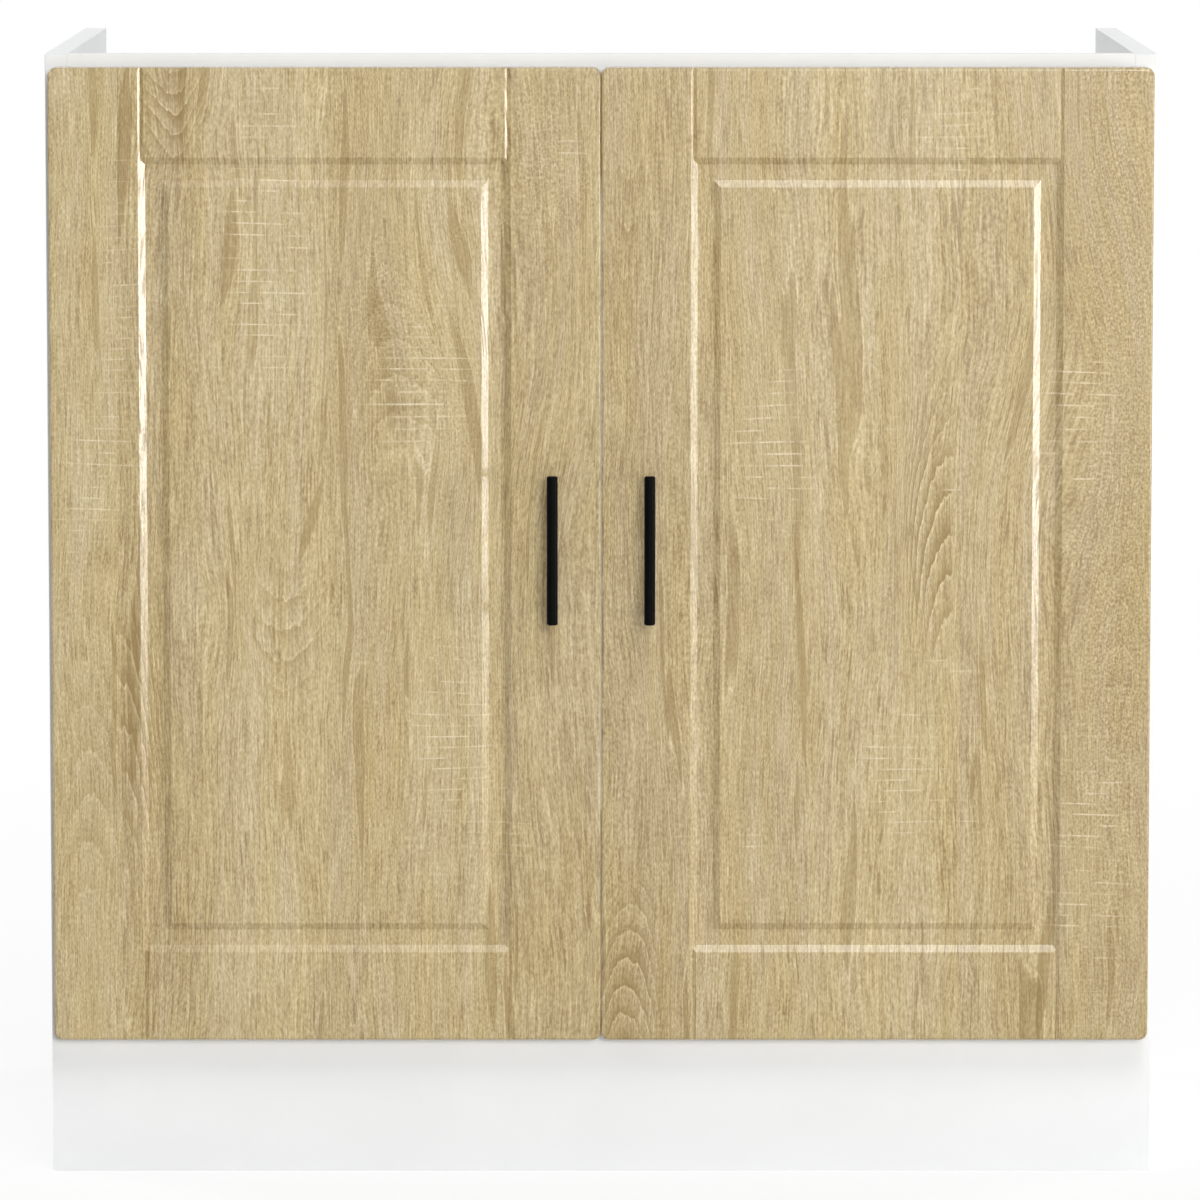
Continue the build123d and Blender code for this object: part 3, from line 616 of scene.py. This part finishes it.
        back = y.above(door_back - self.backing_thickness)
        gloss = self.roughness + fleck * self.fleck_roughness + pore * self.pore_roughness
        height = fibre * self.fibre_relief + 0.5 - pore * self.pore_relief
        return tree.dress(
            {
                "Base Color": tree.mix(colour, self.backing, back),
                "Roughness": gloss * (1.0 - back) + back * self.backing_roughness,
                "Normal": self.relief.normal(height * (1.0 - back)),
            }
        )

    def _boards(self, across: Value) -> tuple[Value, Value]:
        """Tell the printed boards apart.

        Args:
            across: Place across the door.

        Returns:
            The number of the board at the place, and its tone: the print's tone, with painted shade
            that darkens the right-hand boards.
        """
        steps = [across.above(edge) for edge in self.board_edges]
        rises = [(b - a) / 100 for a, b in zip(self.board_tones_and_painted_shade, self.board_tones_and_painted_shade[1:])]
        tones = [step * rise for step, rise in zip(steps, rises)]
        return reduce(add, steps), reduce(add, tones) + self.board_tones_and_painted_shade[0] / 100

    def _grain(self, across: Value, z: Value, seed: Value) -> Value:
        """Bend the grain.

        Args:
            across: Place across the door.
            z: Height.
            seed: Seed of the board.

        Returns:
            The place across the grain, whose even lines are the fibres.
        """
        grain = across + self.bend.swing(across, z, seed) * self.bend.strength
        grain = grain + self.waver.swing(across, z, seed) * self.waver.strength
        for knot in self.knots:
            away = ((across - knot.x) / knot.width).squashed()
            grain = grain + away * knot.patch(across, z)
        for lean in self.leans:
            along = ((z - lean.z) / lean.height).squashed()
            grain = grain + along * replace(lean, height=lean.height * 2.0).patch(across, z)
        return grain

    def _dotted(self, across: Value, z: Value) -> Value:
        """Where the fibre breaks up into short dots, from 0 to 1."""
        field = self.broken.mask(across, z) * self.broken.strength
        return reduce(add, (spot.patch(across, z) for spot in self.stippled), field).least(1.0)

    def _flames(self, grain: Value, z: Value, seed: Value) -> tuple[Value, Value]:
        """Tapered darker flames and ring arches with a crisp outline.

        Args:
            grain: Place across the grain.
            z: Height.
            seed: Seed of the board.

        Returns:
            The strength of the dark wood and of its pale rims.
        """
        ragged = self.ragged.swing(grain, z, seed)
        field = self.flame_field.noise(grain, z, seed) + ragged * self.flame_ragged
        wild = field.rise(self.flame_field.start, self.flame_field.full)
        dark = wild * self.flame_field.strength
        rim = 1.0 - (field - self.rim_level).size().rise(*self.rim_fade)
        for flame in self.flames:
            dark = dark + flame.mask(grain, z)
        for arch in self.arches:
            side, outline = arch.rings(grain, z, ragged * self.arch_ragged)
            dark = dark + side
            rim = rim + outline
        return dark, rim

    def _saw_marks(self, across: Value, z: Value, fibre: Value) -> Value:
        """Pale marks across the grain.

        Args:
            across: Place across the door.
            z: Height.
            fibre: The fibres, which cross the marks.

        Returns:
            The strength of the marks.
        """
        field = self.saw_field.mask(across, z) * self.saw_field.strength
        place = reduce(add, (spot.patch(across, z) for spot in self.marks)) + field
        height = z / self.saw_pitch + self.saw_drift.swing(across, z) * self.saw_drift.strength
        line = 1.0 - (height.fraction() - 0.5).size().rise(*self.saw_line_fade)
        row = height.whole() * self.saw_row_seed
        gaps = (1.0 - self.saw_break.mask(across, row)) * self.saw_break.strength
        lines = line * self.saw_dash.mask(across, row) * (1.0 - gaps) * self.saw_strength
        weave = (fibre * 0.5 + 0.6).least(1.0) * self.saw_weave
        return place.least(1.0).rise(*self.saw_patch_fade) * (lines + weave)


class RawEdge(Enum):
    """Which edge of a board carries no band."""

    NONE = "none"
    BACK = "back"
    UNDERSIDE = "underside"


@dataclass(frozen=True)
class WhiteBoard:
    """Satin white melamine on chipboard, whose core shows on the edge that carries no band."""

    name: str
    raw_edge: RawEdge = RawEdge.NONE
    raw_from: float = 0.0
    face: Colour = srgb(244, 245, 245)
    shade: Colour = srgb(242, 243, 243)
    core_dark: Colour = srgb(140, 108, 72)
    core_pale: Colour = srgb(206, 178, 138)
    cloud: Mottle = Mottle.even(60.0, detail=3.0)
    chips: Mottle = Mottle((1.6, 1.6, 5.0), detail=3.0, roughness=0.7)
    pearl: Mottle = Mottle.even(0.9, detail=1.0)
    contrast: Span = (0.3, 0.7)
    roughness: float = 0.5
    pearl_roughness: float = 0.08
    core_roughness: float = 0.3
    core_relief: float = 6.0
    relief: Relief = Relief(0.012 * MM)

    def make(self) -> Material:
        """Build the material.

        Returns:
            The material.
        """
        tree = Tree.of_material(self.name)
        place = tree.object_place()
        raw = self._raw(place)
        pearl = self.pearl.at(place)
        chips = self.chips.at(place).rise(*self.contrast)
        white = tree.mix(self.face, self.shade, self.cloud.at(place).rise(*self.contrast))
        core = tree.mix(self.core_dark, self.core_pale, chips)
        height = pearl * (1.0 - raw) + chips * raw * self.core_relief
        return tree.dress(
            {
                "Base Color": tree.mix(white, core, raw),
                "Roughness": self.roughness + pearl * self.pearl_roughness + raw * self.core_roughness,
                "Normal": self.relief.normal(height),
                "Specular IOR Level": 0.25,
            }
        )

    def _raw(self, place: Place) -> "Value | float":
        """One on the raw edge, else zero."""
        if self.raw_edge is RawEdge.BACK:
            return place[1].above(self.raw_from)
        if self.raw_edge is RawEdge.UNDERSIDE:
            return 1.0 - place[2].above(self.raw_from)
        return 0.0


class Metal(Enum):
    """The metals of the hinges and of the joining hardware."""

    NICKEL = "nickel_steel"
    ZINC_PLATE = "zinc_plated_steel"
    ZINC_CAST = "zinc_alloy"


@dataclass(frozen=True)
class MetalFinish:
    """A bare metal with drawn or cast texture."""

    metal: Metal
    bright: Colour
    dull: Colour
    roughness: float
    grain: float
    relief: Relief
    patch: Mottle = Mottle.even(3.0)
    scratches: Mottle = Mottle((0.15, 2.0, 0.15), detail=1.0)
    contrast: Span = (0.35, 0.7)
    grain_roughness: float = 0.12
    scratch_roughness: float = 0.06

    def make(self) -> Material:
        """Build the material.

        Returns:
            The material.
        """
        tree = Tree.of_material(self.metal.value)
        place = tree.object_place()
        fine = Mottle.even(self.grain).at(place)
        worn = self.scratches.at(place) * self.scratch_roughness
        patch = self.patch.at(place).rise(*self.contrast)
        return tree.dress(
            {
                "Base Color": tree.mix(self.bright, self.dull, patch),
                "Metallic": 1.0,
                "Roughness": self.roughness + fine * self.grain_roughness + worn,
                "Normal": self.relief.normal(fine),
            }
        )


@dataclass(frozen=True)
class BlackCoat:
    """Satin black powder coat on the handles."""

    name: str = "black_metal"
    coat: Colour = srgb(4, 4, 5)
    bloom: Colour = srgb(8, 8, 9)
    speck: Mottle = Mottle.even(0.35, detail=1.0)
    cloud: Mottle = Mottle((6.0, 6.0, 14.0))
    contrast: Span = (0.35, 0.7)
    roughness: float = 0.3
    cloud_roughness: float = 0.1
    relief: Relief = Relief(0.02 * MM, 0.4)

    def make(self) -> Material:
        """Build the material.

        Returns:
            The material.
        """
        tree = Tree.of_material(self.name)
        place = tree.object_place()
        cloud = self.cloud.at(place)
        return tree.dress(
            {
                "Base Color": tree.mix(self.coat, self.bloom, cloud.rise(*self.contrast)),
                "Roughness": self.roughness + cloud * self.cloud_roughness,
                "Normal": self.relief.normal(self.speck.at(place)),
                "Specular IOR Level": 0.05,
            }
        )


@dataclass(frozen=True)
class Beech:
    """Beech of the dowels, with short dark ray flecks."""

    name: str = "beech"
    pale: Colour = srgb(222, 190, 148)
    deep: Colour = srgb(196, 158, 112)
    fleck: Colour = srgb(150, 108, 70)
    grain: Mottle = Mottle((12.0, 0.8, 0.8), detail=3.0)
    rays: Mottle = Mottle((1.5, 0.25, 0.25), detail=0.0)
    grain_contrast: Span = (0.3, 0.7)
    ray_contrast: Span = (0.64, 0.72)
    ray_strength: float = 0.7
    roughness: float = 0.6
    grain_roughness: float = 0.1
    relief: Relief = Relief(0.05 * MM)

    def make(self) -> Material:
        """Build the material.

        Returns:
            The material.
        """
        tree = Tree.of_material(self.name)
        place = tree.object_place()
        grain = self.grain.at(place)
        rays = self.rays.at(place).rise(*self.ray_contrast) * self.ray_strength
        wood = tree.mix(self.pale, self.deep, grain.rise(*self.grain_contrast))
        return tree.dress(
            {
                "Base Color": tree.mix(wood, self.fleck, rays),
                "Roughness": self.roughness + grain * self.grain_roughness,
                "Normal": self.relief.normal(grain),
            }
        )


@dataclass(frozen=True)
class MouldedPlastic:
    """Moulded plastic with a finely sparked surface."""

    name: str
    colour: Colour
    shade: Colour
    roughness: float
    clearness: float = 0.0
    spark: Mottle = Mottle.even(0.25, detail=1.0)
    cloud: Mottle = Mottle.even(9.0)
    contrast: Span = (0.3, 0.7)
    spark_roughness: float = 0.1
    relief: Relief = Relief(0.015 * MM)
    refraction: float = 1.43

    def make(self) -> Material:
        """Build the material.

        Returns:
            The material.
        """
        tree = Tree.of_material(self.name)
        place = tree.object_place()
        spark = self.spark.at(place)
        cloud = self.cloud.at(place).rise(*self.contrast)
        return tree.dress(
            {
                "Base Color": tree.mix(self.colour, self.shade, cloud),
                "Roughness": self.roughness + spark * self.spark_roughness,
                "Normal": self.relief.normal(spark),
                "Transmission Weight": self.clearness,
                "IOR": self.refraction,
            }
        )


# ------------------------------------------------------------------------------ screws


@dataclass(frozen=True)
class Seat:
    """Where one screw of the frame sits: under its head, with the axis that leaves the board."""

    place: Vector
    outward: Vector


def solids_of(node: str) -> list[list[Vector]]:
    """Points of each separate solid of a node.

    Args:
        node: The node's name.

    Returns:
        One list of points for each solid, in metres.
    """
    mesh = bmesh.new()
    mesh.from_mesh(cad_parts[node].data)
    bmesh.ops.remove_doubles(mesh, verts=mesh.verts, dist=0.001 * MM)
    left = set(mesh.verts)
    found = []
    while left:
        reached = {left.pop()}
        border = list(reached)
        while border:
            near = {e.other_vert(v) for v in border for e in v.link_edges} - reached
            reached |= near
            border = list(near)
        left -= reached
        found.append([v.co.copy() for v in reached])
    mesh.free()
    return sorted(found, key=lambda points: tuple(round(c, 4) for c in points_middle(points)))


def points_middle(points: Sequence[Vector]) -> Vector:
    """Middle of the box round some points."""
    low = Vector(min(p[i] for p in points) for i in range(3))
    high = Vector(max(p[i] for p in points) for i in range(3))
    return (low + high) / 2


def screw_seat(points: Sequence[Vector], head_height: float) -> Seat:
    """Seat and axis of a screw, from the points of its plain solid.

    Args:
        points: The solid's points.
        head_height: Height of its head.

    Returns:
        The seat under the head.
    """
    middle = points_middle(points)
    spans = [max(p[i] for p in points) - min(p[i] for p in points) for i in range(3)]
    axis = spans.index(max(spans))
    widest = max(points, key=lambda p: sum((p[i] - middle[i]) ** 2 for i in range(3) if i != axis))
    outward = Vector((0.0, 0.0, 0.0))
    outward[axis] = math.copysign(1.0, widest[axis] - middle[axis])
    return Seat(middle + outward * (spans[axis] / 2 - head_height), outward)


def edit_only(obj: Object) -> None:
    """Select one object alone and enter edit mode on it."""
    if bpy.context.object and bpy.context.object.mode != "OBJECT":
        bpy.ops.object.mode_set(mode="OBJECT")
    bpy.ops.object.select_all(action="DESELECT")
    bpy.context.view_layer.objects.active = obj
    obj.select_set(True)
    bpy.ops.object.mode_set(mode="EDIT")


@dataclass(frozen=True)
class CrossRecess:
    """Two crossed slots in a screw's head, narrower at their floor."""

    # Shares of the head's radius, of that length, of the head's height and of the slot's top
    half_length: float = 0.62
    half_width: float = 0.2
    half_height: float = 0.8
    floor: float = 0.45

    def cut(self, blank: Object, radius: float, height: float) -> None:
        """Cut both slots.

        Args:
            blank: The screw, whose head stands on the origin.
            radius: Radius of the head.
            height: Height of the head.
        """
        for angle in (0.0, math.pi / 2):
            blade = self._blade(radius * self.half_length, height, angle)
            cut = blank.modifiers.new("recess", "BOOLEAN")
            cut.operation = "DIFFERENCE"
            cut.solver = "EXACT"
            cut.object = blade
            bpy.context.view_layer.objects.active = blank
            bpy.ops.object.modifier_apply(modifier=cut.name)
            bpy.data.objects.remove(blade)

    def _blade(self, reach: float, height: float, angle: float) -> Object:
        """Model the tapered blade that cuts one slot.

        Args:
            reach: Half of the slot's length.
            height: Height of the head.
            angle: Turn of the slot about the axis.

        Returns:
            The blade.
        """
        bpy.ops.object.select_all(action="DESELECT")
        bpy.ops.mesh.primitive_cube_add(size=2.0, location=(0.0, 0.0, height))
        blade = bpy.context.object
        blade.scale = (reach, reach * self.half_width, height * self.half_height)
        blade.rotation_euler = (0.0, 0.0, angle)
        bpy.ops.object.transform_apply(location=True, rotation=True, scale=True)
        edit_only(blade)
        bpy.ops.mesh.select_all(action="DESELECT")
        mesh = bmesh.from_edit_mesh(blade.data)
        underside = min(mesh.faces, key=lambda face: face.calc_center_median().z)
        underside.select_set(True)
        bmesh.update_edit_mesh(blade.data)
        bpy.ops.transform.resize(value=(self.floor, self.floor, 1.0), center_override=(0, 0, 0))
        bpy.ops.object.mode_set(mode="OBJECT")
        return blade


@dataclass(frozen=True)
class CrossScrew:
    """A pan-head screw with a thread and a cross recess, turned from one profile."""

    length: float
    shank: float
    head: float
    head_height: float
    pitch: float = 1.2 * MM
    steps: int = 20
    recess: CrossRecess = CrossRecess()
    # Radius of the core and length of the tip, as shares of the thread's radius
    core_share: float = 0.7
    tip_share: float = 2.2
    # Outline of the head, as shares of its radius and its height
    head_outline: tuple[Span, ...] = (
        (0.96, 0.0), (1.0, 0.12), (0.98, 0.4), (0.8, 0.8), (0.45, 0.98), (0.0, 1.0)
    )

    def profile(self) -> list[tuple[float, float]]:
        """Radius and height of the screw's outline, from the tip to the top of the head."""
        core = self.shank * self.core_share
        tip = self.shank * self.tip_share
        z = tip - self.length
        outline = [(0.0, -self.length), (core * 0.5, tip * 0.4 - self.length), (core, z)]
        while z < -2.0 * self.pitch:
            crest = [(self.shank, z + share * self.pitch) for share in (0.4, 0.5)]
            outline += [*crest, (core, z + self.pitch)]
            z += self.pitch
        outline += [(self.shank, -self.pitch * 0.8), (self.shank, 0.0)]
        head = [(self.head * width, self.head_height * up) for width, up in self.head_outline]
        return outline + head

    def make(self, name: str) -> Object:
        """Model one screw at the origin, with its head up.

        Args:
            name: Name of the screw.

        Returns:
            The screw.
        """
        blank = self._turn(name)
        self.recess.cut(blank, self.head, self.head_height)
        return blank

    def _turn(self, name: str) -> Object:
        """Spin the profile round the upright axis.

        Args:
            name: Name of the screw.

        Returns:
            The screw without its recess.
        """
        mesh = bpy.data.meshes.new(name)
        points = [(radius, 0.0, z) for radius, z in self.profile()]
        mesh.from_pydata(points, [(i, i + 1) for i in range(len(points) - 1)], [])
        blank = bpy.data.objects.new(name, mesh)
        bpy.context.collection.objects.link(blank)
        edit_only(blank)
        bpy.ops.mesh.select_all(action="SELECT")
        bpy.ops.mesh.spin(steps=self.steps, angle=math.tau, center=(0, 0, 0), axis=(0, 0, 1))
        bpy.ops.mesh.select_all(action="SELECT")
        bpy.ops.mesh.remove_doubles(threshold=0.002 * MM)
        bpy.ops.mesh.normals_make_consistent(inside=False)
        bpy.ops.object.mode_set(mode="OBJECT")
        return blank


@dataclass
class ScrewSet:
    """All screws of one node, each a copy of one modelled screw."""

    node: str
    body: str
    screw: CrossScrew
    finish: Material
    slot: str
    # Each screw was left at another turn, in radians
    turn_step: float = 0.7
    smooth_below: float = math.radians(35.0)

    def build(self) -> Object:
        """Model the set in place of its node.

        Returns:
            The set as one object.
        """
        joined = self._join(self._copies())
        joined.name = f"{self.node}_threaded"
        bpy.ops.object.shade_smooth_by_angle(angle=self.smooth_below)
        joined.data.materials.append(self.finish)
        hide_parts(self.node)
        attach(joined, self.body)
        return joined

    def _copies(self) -> list[Object]:
        """Copy the modelled screw to each seat.

        Returns:
            The copies, each with its own mesh.
        """
        master = self.screw.make(f"{self.node}_master")
        pieces = []
        for index, points in enumerate(solids_of(self.node)):
            seat = screw_seat(points, self.screw.head_height)
            copy = master.copy()
            copy.data = master.data.copy()
            copy.name = f"{self.node}_{index}"
            upright = seat.outward.to_track_quat("Z", "Y").to_matrix().to_4x4()
            turn = Matrix.Rotation(self.turn_step * index, 4, "Z")
            copy.data.transform(Matrix.Translation(seat.place) @ upright @ turn)
            bpy.context.collection.objects.link(copy)
            pieces.append(copy)
        bpy.data.objects.remove(master)
        return pieces

    @staticmethod
    def _join(pieces: Sequence[Object]) -> Object:
        """One object that holds the meshes of some objects."""
        bpy.ops.object.select_all(action="DESELECT")
        for piece in pieces:
            piece.select_set(True)
        bpy.context.view_layer.objects.active = pieces[0]
        bpy.ops.object.join()
        return bpy.context.object


# ------------------------------------------------------------------------------ cabinet


@dataclass
class Wardrobe:
    """The finishes of the whole cabinet and the nodes that wear them."""

    oak: OakFoil = OakFoil()
    black: BlackCoat = BlackCoat()
    beech: Beech = Beech()
    nickel: MetalFinish = MetalFinish(
        Metal.NICKEL, srgb(206, 204, 198), srgb(188, 186, 180), 0.24, 0.6, Relief(0.006 * MM, 0.6)
    )
    zinc_plate: MetalFinish = MetalFinish(
        Metal.ZINC_PLATE, srgb(200, 203, 208), srgb(178, 182, 188), 0.26, 0.4, Relief(0.006 * MM, 0.6)
    )
    zinc_cast: MetalFinish = MetalFinish(
        Metal.ZINC_CAST, srgb(172, 172, 174), srgb(146, 147, 150), 0.38, 0.5, Relief(0.02 * MM, 0.6)
    )
    block_plastic: MouldedPlastic = MouldedPlastic(
        "white_plastic", srgb(232, 232, 229), srgb(226, 226, 223), 0.42
    )
    silicone: MouldedPlastic = MouldedPlastic(
        "clear_silicone", srgb(236, 236, 232), srgb(228, 228, 224), 0.2, clearness=0.7
    )
    # How far a raw edge's finish reaches round its corner, in millimetres
    raw_margin: float = 0.05

    def dress(self) -> None:
        """Give every node of the frame its finish."""
        self._dress_boards()
        self._wear(self.oak.make(), "door_left", "door_right")
        self._wear(self.beech.make(), "wood_dowels")
        self._wear(self.zinc_cast.make(), "cam_housings")
        self._wear(self.zinc_plate.make(), "cam_bolts")
        self._wear(self.block_plastic.make(), "plinth_blocks")
        nickel = self.nickel.make()
        self._wear(nickel, "hinge_plates", "hinge_arms", "arm_pins")
        black = self.black.make()
        clear = self.silicone.make()
        for side in SIDES:
            self._wear(black, f"handle_bar_{side}", f"handle_posts_{side}")
            self._wear(nickel, f"outer_links_{side}", f"inner_links_{side}")
            self._wear(nickel, f"hinge_cups_{side}", f"cup_pins_{side}")
            self._wear(clear, f"bumpers_{side}")

    def _dress_boards(self) -> None:
        """Give the white boards and their edge bands their finish."""
        back = CAD_HIGH.y / MM - self.raw_margin
        board = WhiteBoard("white_board_sides", RawEdge.BACK, back).make()
        self._wear(board, "side_panel_left", "side_panel_right", "bottom_panel")
        for rail in ("rear_rail_upper", "rear_rail_lower", "front_rail"):
            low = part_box(rail)[0].z / MM + self.raw_margin
            self._wear(WhiteBoard(f"white_board_{rail}", RawEdge.UNDERSIDE, low).make(), rail)
        self._wear(WhiteBoard("white_board_plinth").make(), "plinth_board")
        self._wear(WhiteBoard("white_edging").make(), "edge_bands")

    @staticmethod
    def _wear(finish: Material, *nodes: str) -> None:
        """Put a finish in the slots of some nodes."""
        for node in nodes:
            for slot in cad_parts[node].material_slots:
                slot.material = finish
            LOG.info("%s wears %s", node, finish.name)


@dataclass
class Fasteners:
    """Every screw, threaded and with its recess."""

    finish: MetalFinish
    plate: CrossScrew = CrossScrew(12.5 * MM, 2.5 * MM, 4.6 * MM, 1.8 * MM)
    small: CrossScrew = CrossScrew(14.0 * MM, 1.7 * MM, 3.4 * MM, 1.8 * MM)
    cup: CrossScrew = CrossScrew(13.0 * MM, 1.7 * MM, 3.4 * MM, 0.9 * MM)
    arm: CrossScrew = CrossScrew(12.0 * MM, 2.0 * MM, 4.2 * MM, 1.8 * MM, pitch=0.8 * MM)
    handle: CrossScrew = CrossScrew(28.0 * MM, 2.0 * MM, 4.0 * MM, 1.8 * MM, pitch=0.9 * MM)

    def build(self) -> None:
        """Model all sets."""
        zinc = self.finish.make()
        plan = [
            ("hinge_plate_screws", "carcass", self.plate),
            ("arm_screws", "carcass", self.arm),
            ("plinth_block_screws", "carcass", self.small),
        ]
        for side in SIDES:
            plan.append((f"cup_screws_{side}", f"door_{side}", self.cup))
            plan.append((f"handle_screws_{side}", f"door_{side}", self.handle))
        for node, body, screw in plan:
            piece = ScrewSet(node, body, screw, zinc, self.finish.metal.value).build()
            LOG.info("%s: %d faces", piece.name, len(piece.data.polygons))


# ------------------------------------------------------------------------------ studio


@dataclass(frozen=True)
class SoftBox:
    """One square or oblong studio light that points at the doors.

    It stands at an azimuth, from the front towards the right, and at an elevation, in degrees.
    Its share is the part of full white that it gives to a white surface facing it.
    """

    name: str
    azimuth: float
    elevation: float
    distance: float
    width: float
    height: float
    share: float
    aim: tuple[float, float, float] = (0.0, -0.2, 0.46)

    def hang(self) -> None:
        """Put the light in the studio."""
        lamp = bpy.data.lights.new(self.name, "AREA")
        lamp.shape = "RECTANGLE"
        lamp.size = self.width
        lamp.size_y = self.height
        lamp.energy = self.share * (math.pi * self.distance) ** 2
        holder = bpy.data.objects.new(self.name, lamp)
        turn = Euler((-math.radians(self.elevation), 0.0, math.radians(self.azimuth)))
        away = turn.to_matrix() @ Vector((0.0, -1.0, 0.0))
        holder.location = Vector(self.aim) + away * self.distance
        holder.rotation_euler = away.to_track_quat("Z", "Y").to_euler()
        bpy.context.collection.objects.link(holder)


@dataclass
class Studio:
    """White surroundings, soft light and the camera."""

    ambient: float = 0.19
    floor_size: float = 60.0
    floor_speck: Mottle = Mottle.even(4.0, detail=3.0)
    floor_dark: Colour = srgb(203, 203, 203)
    floor_pale: Colour = srgb(207, 207, 207)
    # The floor as the camera sees it, whose shadow fades out between two radii
    floor_seen: Colour = srgb(246, 246, 246)
    floor_roughness: float = 0.8
    shadow_share: float = 0.14
    near: float = 0.7
    far: float = 2.4
    camera_distance: float = 5.5
    camera_x: float = -0.0007
    camera_height: float = 1.065
    camera_pitch: float = 6.25
    camera_lens: float = 229.3
    camera_shift: float = -0.049
    lights: tuple[SoftBox, ...] = (
        SoftBox("front", 10.0, 12.0, 9.0, 2.0, 2.0, 0.41),
        SoftBox("key", 20.0, 58.0, 9.0, 3.4, 3.4, 0.3),
        SoftBox("strip", 67.3, -0.6, 3.8, 0.26, 0.8, 0.24),
        SoftBox("back_left", -120.0, 30.0, 9.0, 3.0, 3.0, 0.4),
        SoftBox("back_right", 120.0, 30.0, 9.0, 3.0, 3.0, 0.36),
    )

    def build(self) -> None:
        """Set up everything round the cabinet."""
        bpy.context.scene.view_settings.view_transform = "Standard"
        self._world()
        self._floor()
        for light in self.lights:
            light.hang()
        self._camera()

    def _world(self) -> None:
        """White for the camera and in reflections, and an even ambient light."""
        tree = Tree(bpy.data.worlds.new("studio_white"))
        bpy.context.scene.world = tree.owner
        camera, glossy, through = (
            tree.add("ShaderNodeLightPath", output=f"Is {ray} Ray")
            for ray in ("Camera", "Glossy", "Transmission")
        )
        seen = camera.most(glossy).most(through)
        level = self.ambient + seen * (1.0 - self.ambient)
        tree.close(tree.add("ShaderNodeBackground", None, {"Color": WHITE, "Strength": level}))

    def _floor(self) -> None:
        """Pale floor that keeps a faint shadow near the cabinet and fades into the white."""
        bpy.ops.object.select_all(action="DESELECT")
        bpy.ops.mesh.primitive_plane_add(size=self.floor_size, location=(0, 0, 0))
        floor = bpy.context.object
        floor.name = "studio_floor"
        tree = Tree.of_material("studio_floor")
        place = tree.object_place()
        reach = (place[0] * place[0] + place[1] * place[1]).root() * MM
        seen = tree.add("ShaderNodeLightPath", output="Is Camera Ray")
        white = 1.0 - self.shadow_share + reach.rise(self.near, self.far) * self.shadow_share
        tone = tree.mix(self.floor_dark, self.floor_pale, self.floor_speck.at(place))
        tone = tree.mix(tone, self.floor_seen, seen)
        finish = {"Base Color": tone, "Roughness": self.floor_roughness}
        matt = tree.add("ShaderNodeBsdfPrincipled", None, finish)
        glow = tree.add("ShaderNodeEmission", None, {"Color": WHITE})
        surface = tree.add("ShaderNodeMixShader", None, {0: seen * white, 1: matt, 2: glow})
        floor.data.materials.append(tree.close(surface))

    def _camera(self) -> None:
        """Camera in front of the doors, above them and tipped down."""
        lens = bpy.data.cameras.new("studio_camera")
        lens.lens = self.camera_lens
        lens.shift_y = self.camera_shift
        camera = bpy.data.objects.new("studio_camera", lens)
        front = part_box("front_rail")[0].y
        camera.location = (self.camera_x, front - self.camera_distance, self.camera_height)
        camera.rotation_euler = (math.radians(90.0 - self.camera_pitch), 0.0, 0.0)
        bpy.context.collection.objects.link(camera)
        bpy.context.scene.camera = camera


def main() -> None:
    """Dress the cabinet, model its screws and set up the studio."""
    logging.basicConfig(level=logging.INFO, format="%(name)s: %(message)s")
    wardrobe = Wardrobe()
    wardrobe.dress()
    Fasteners(wardrobe.zinc_plate).build()
    Studio().build()


if __name__ == "__main__":
    main()
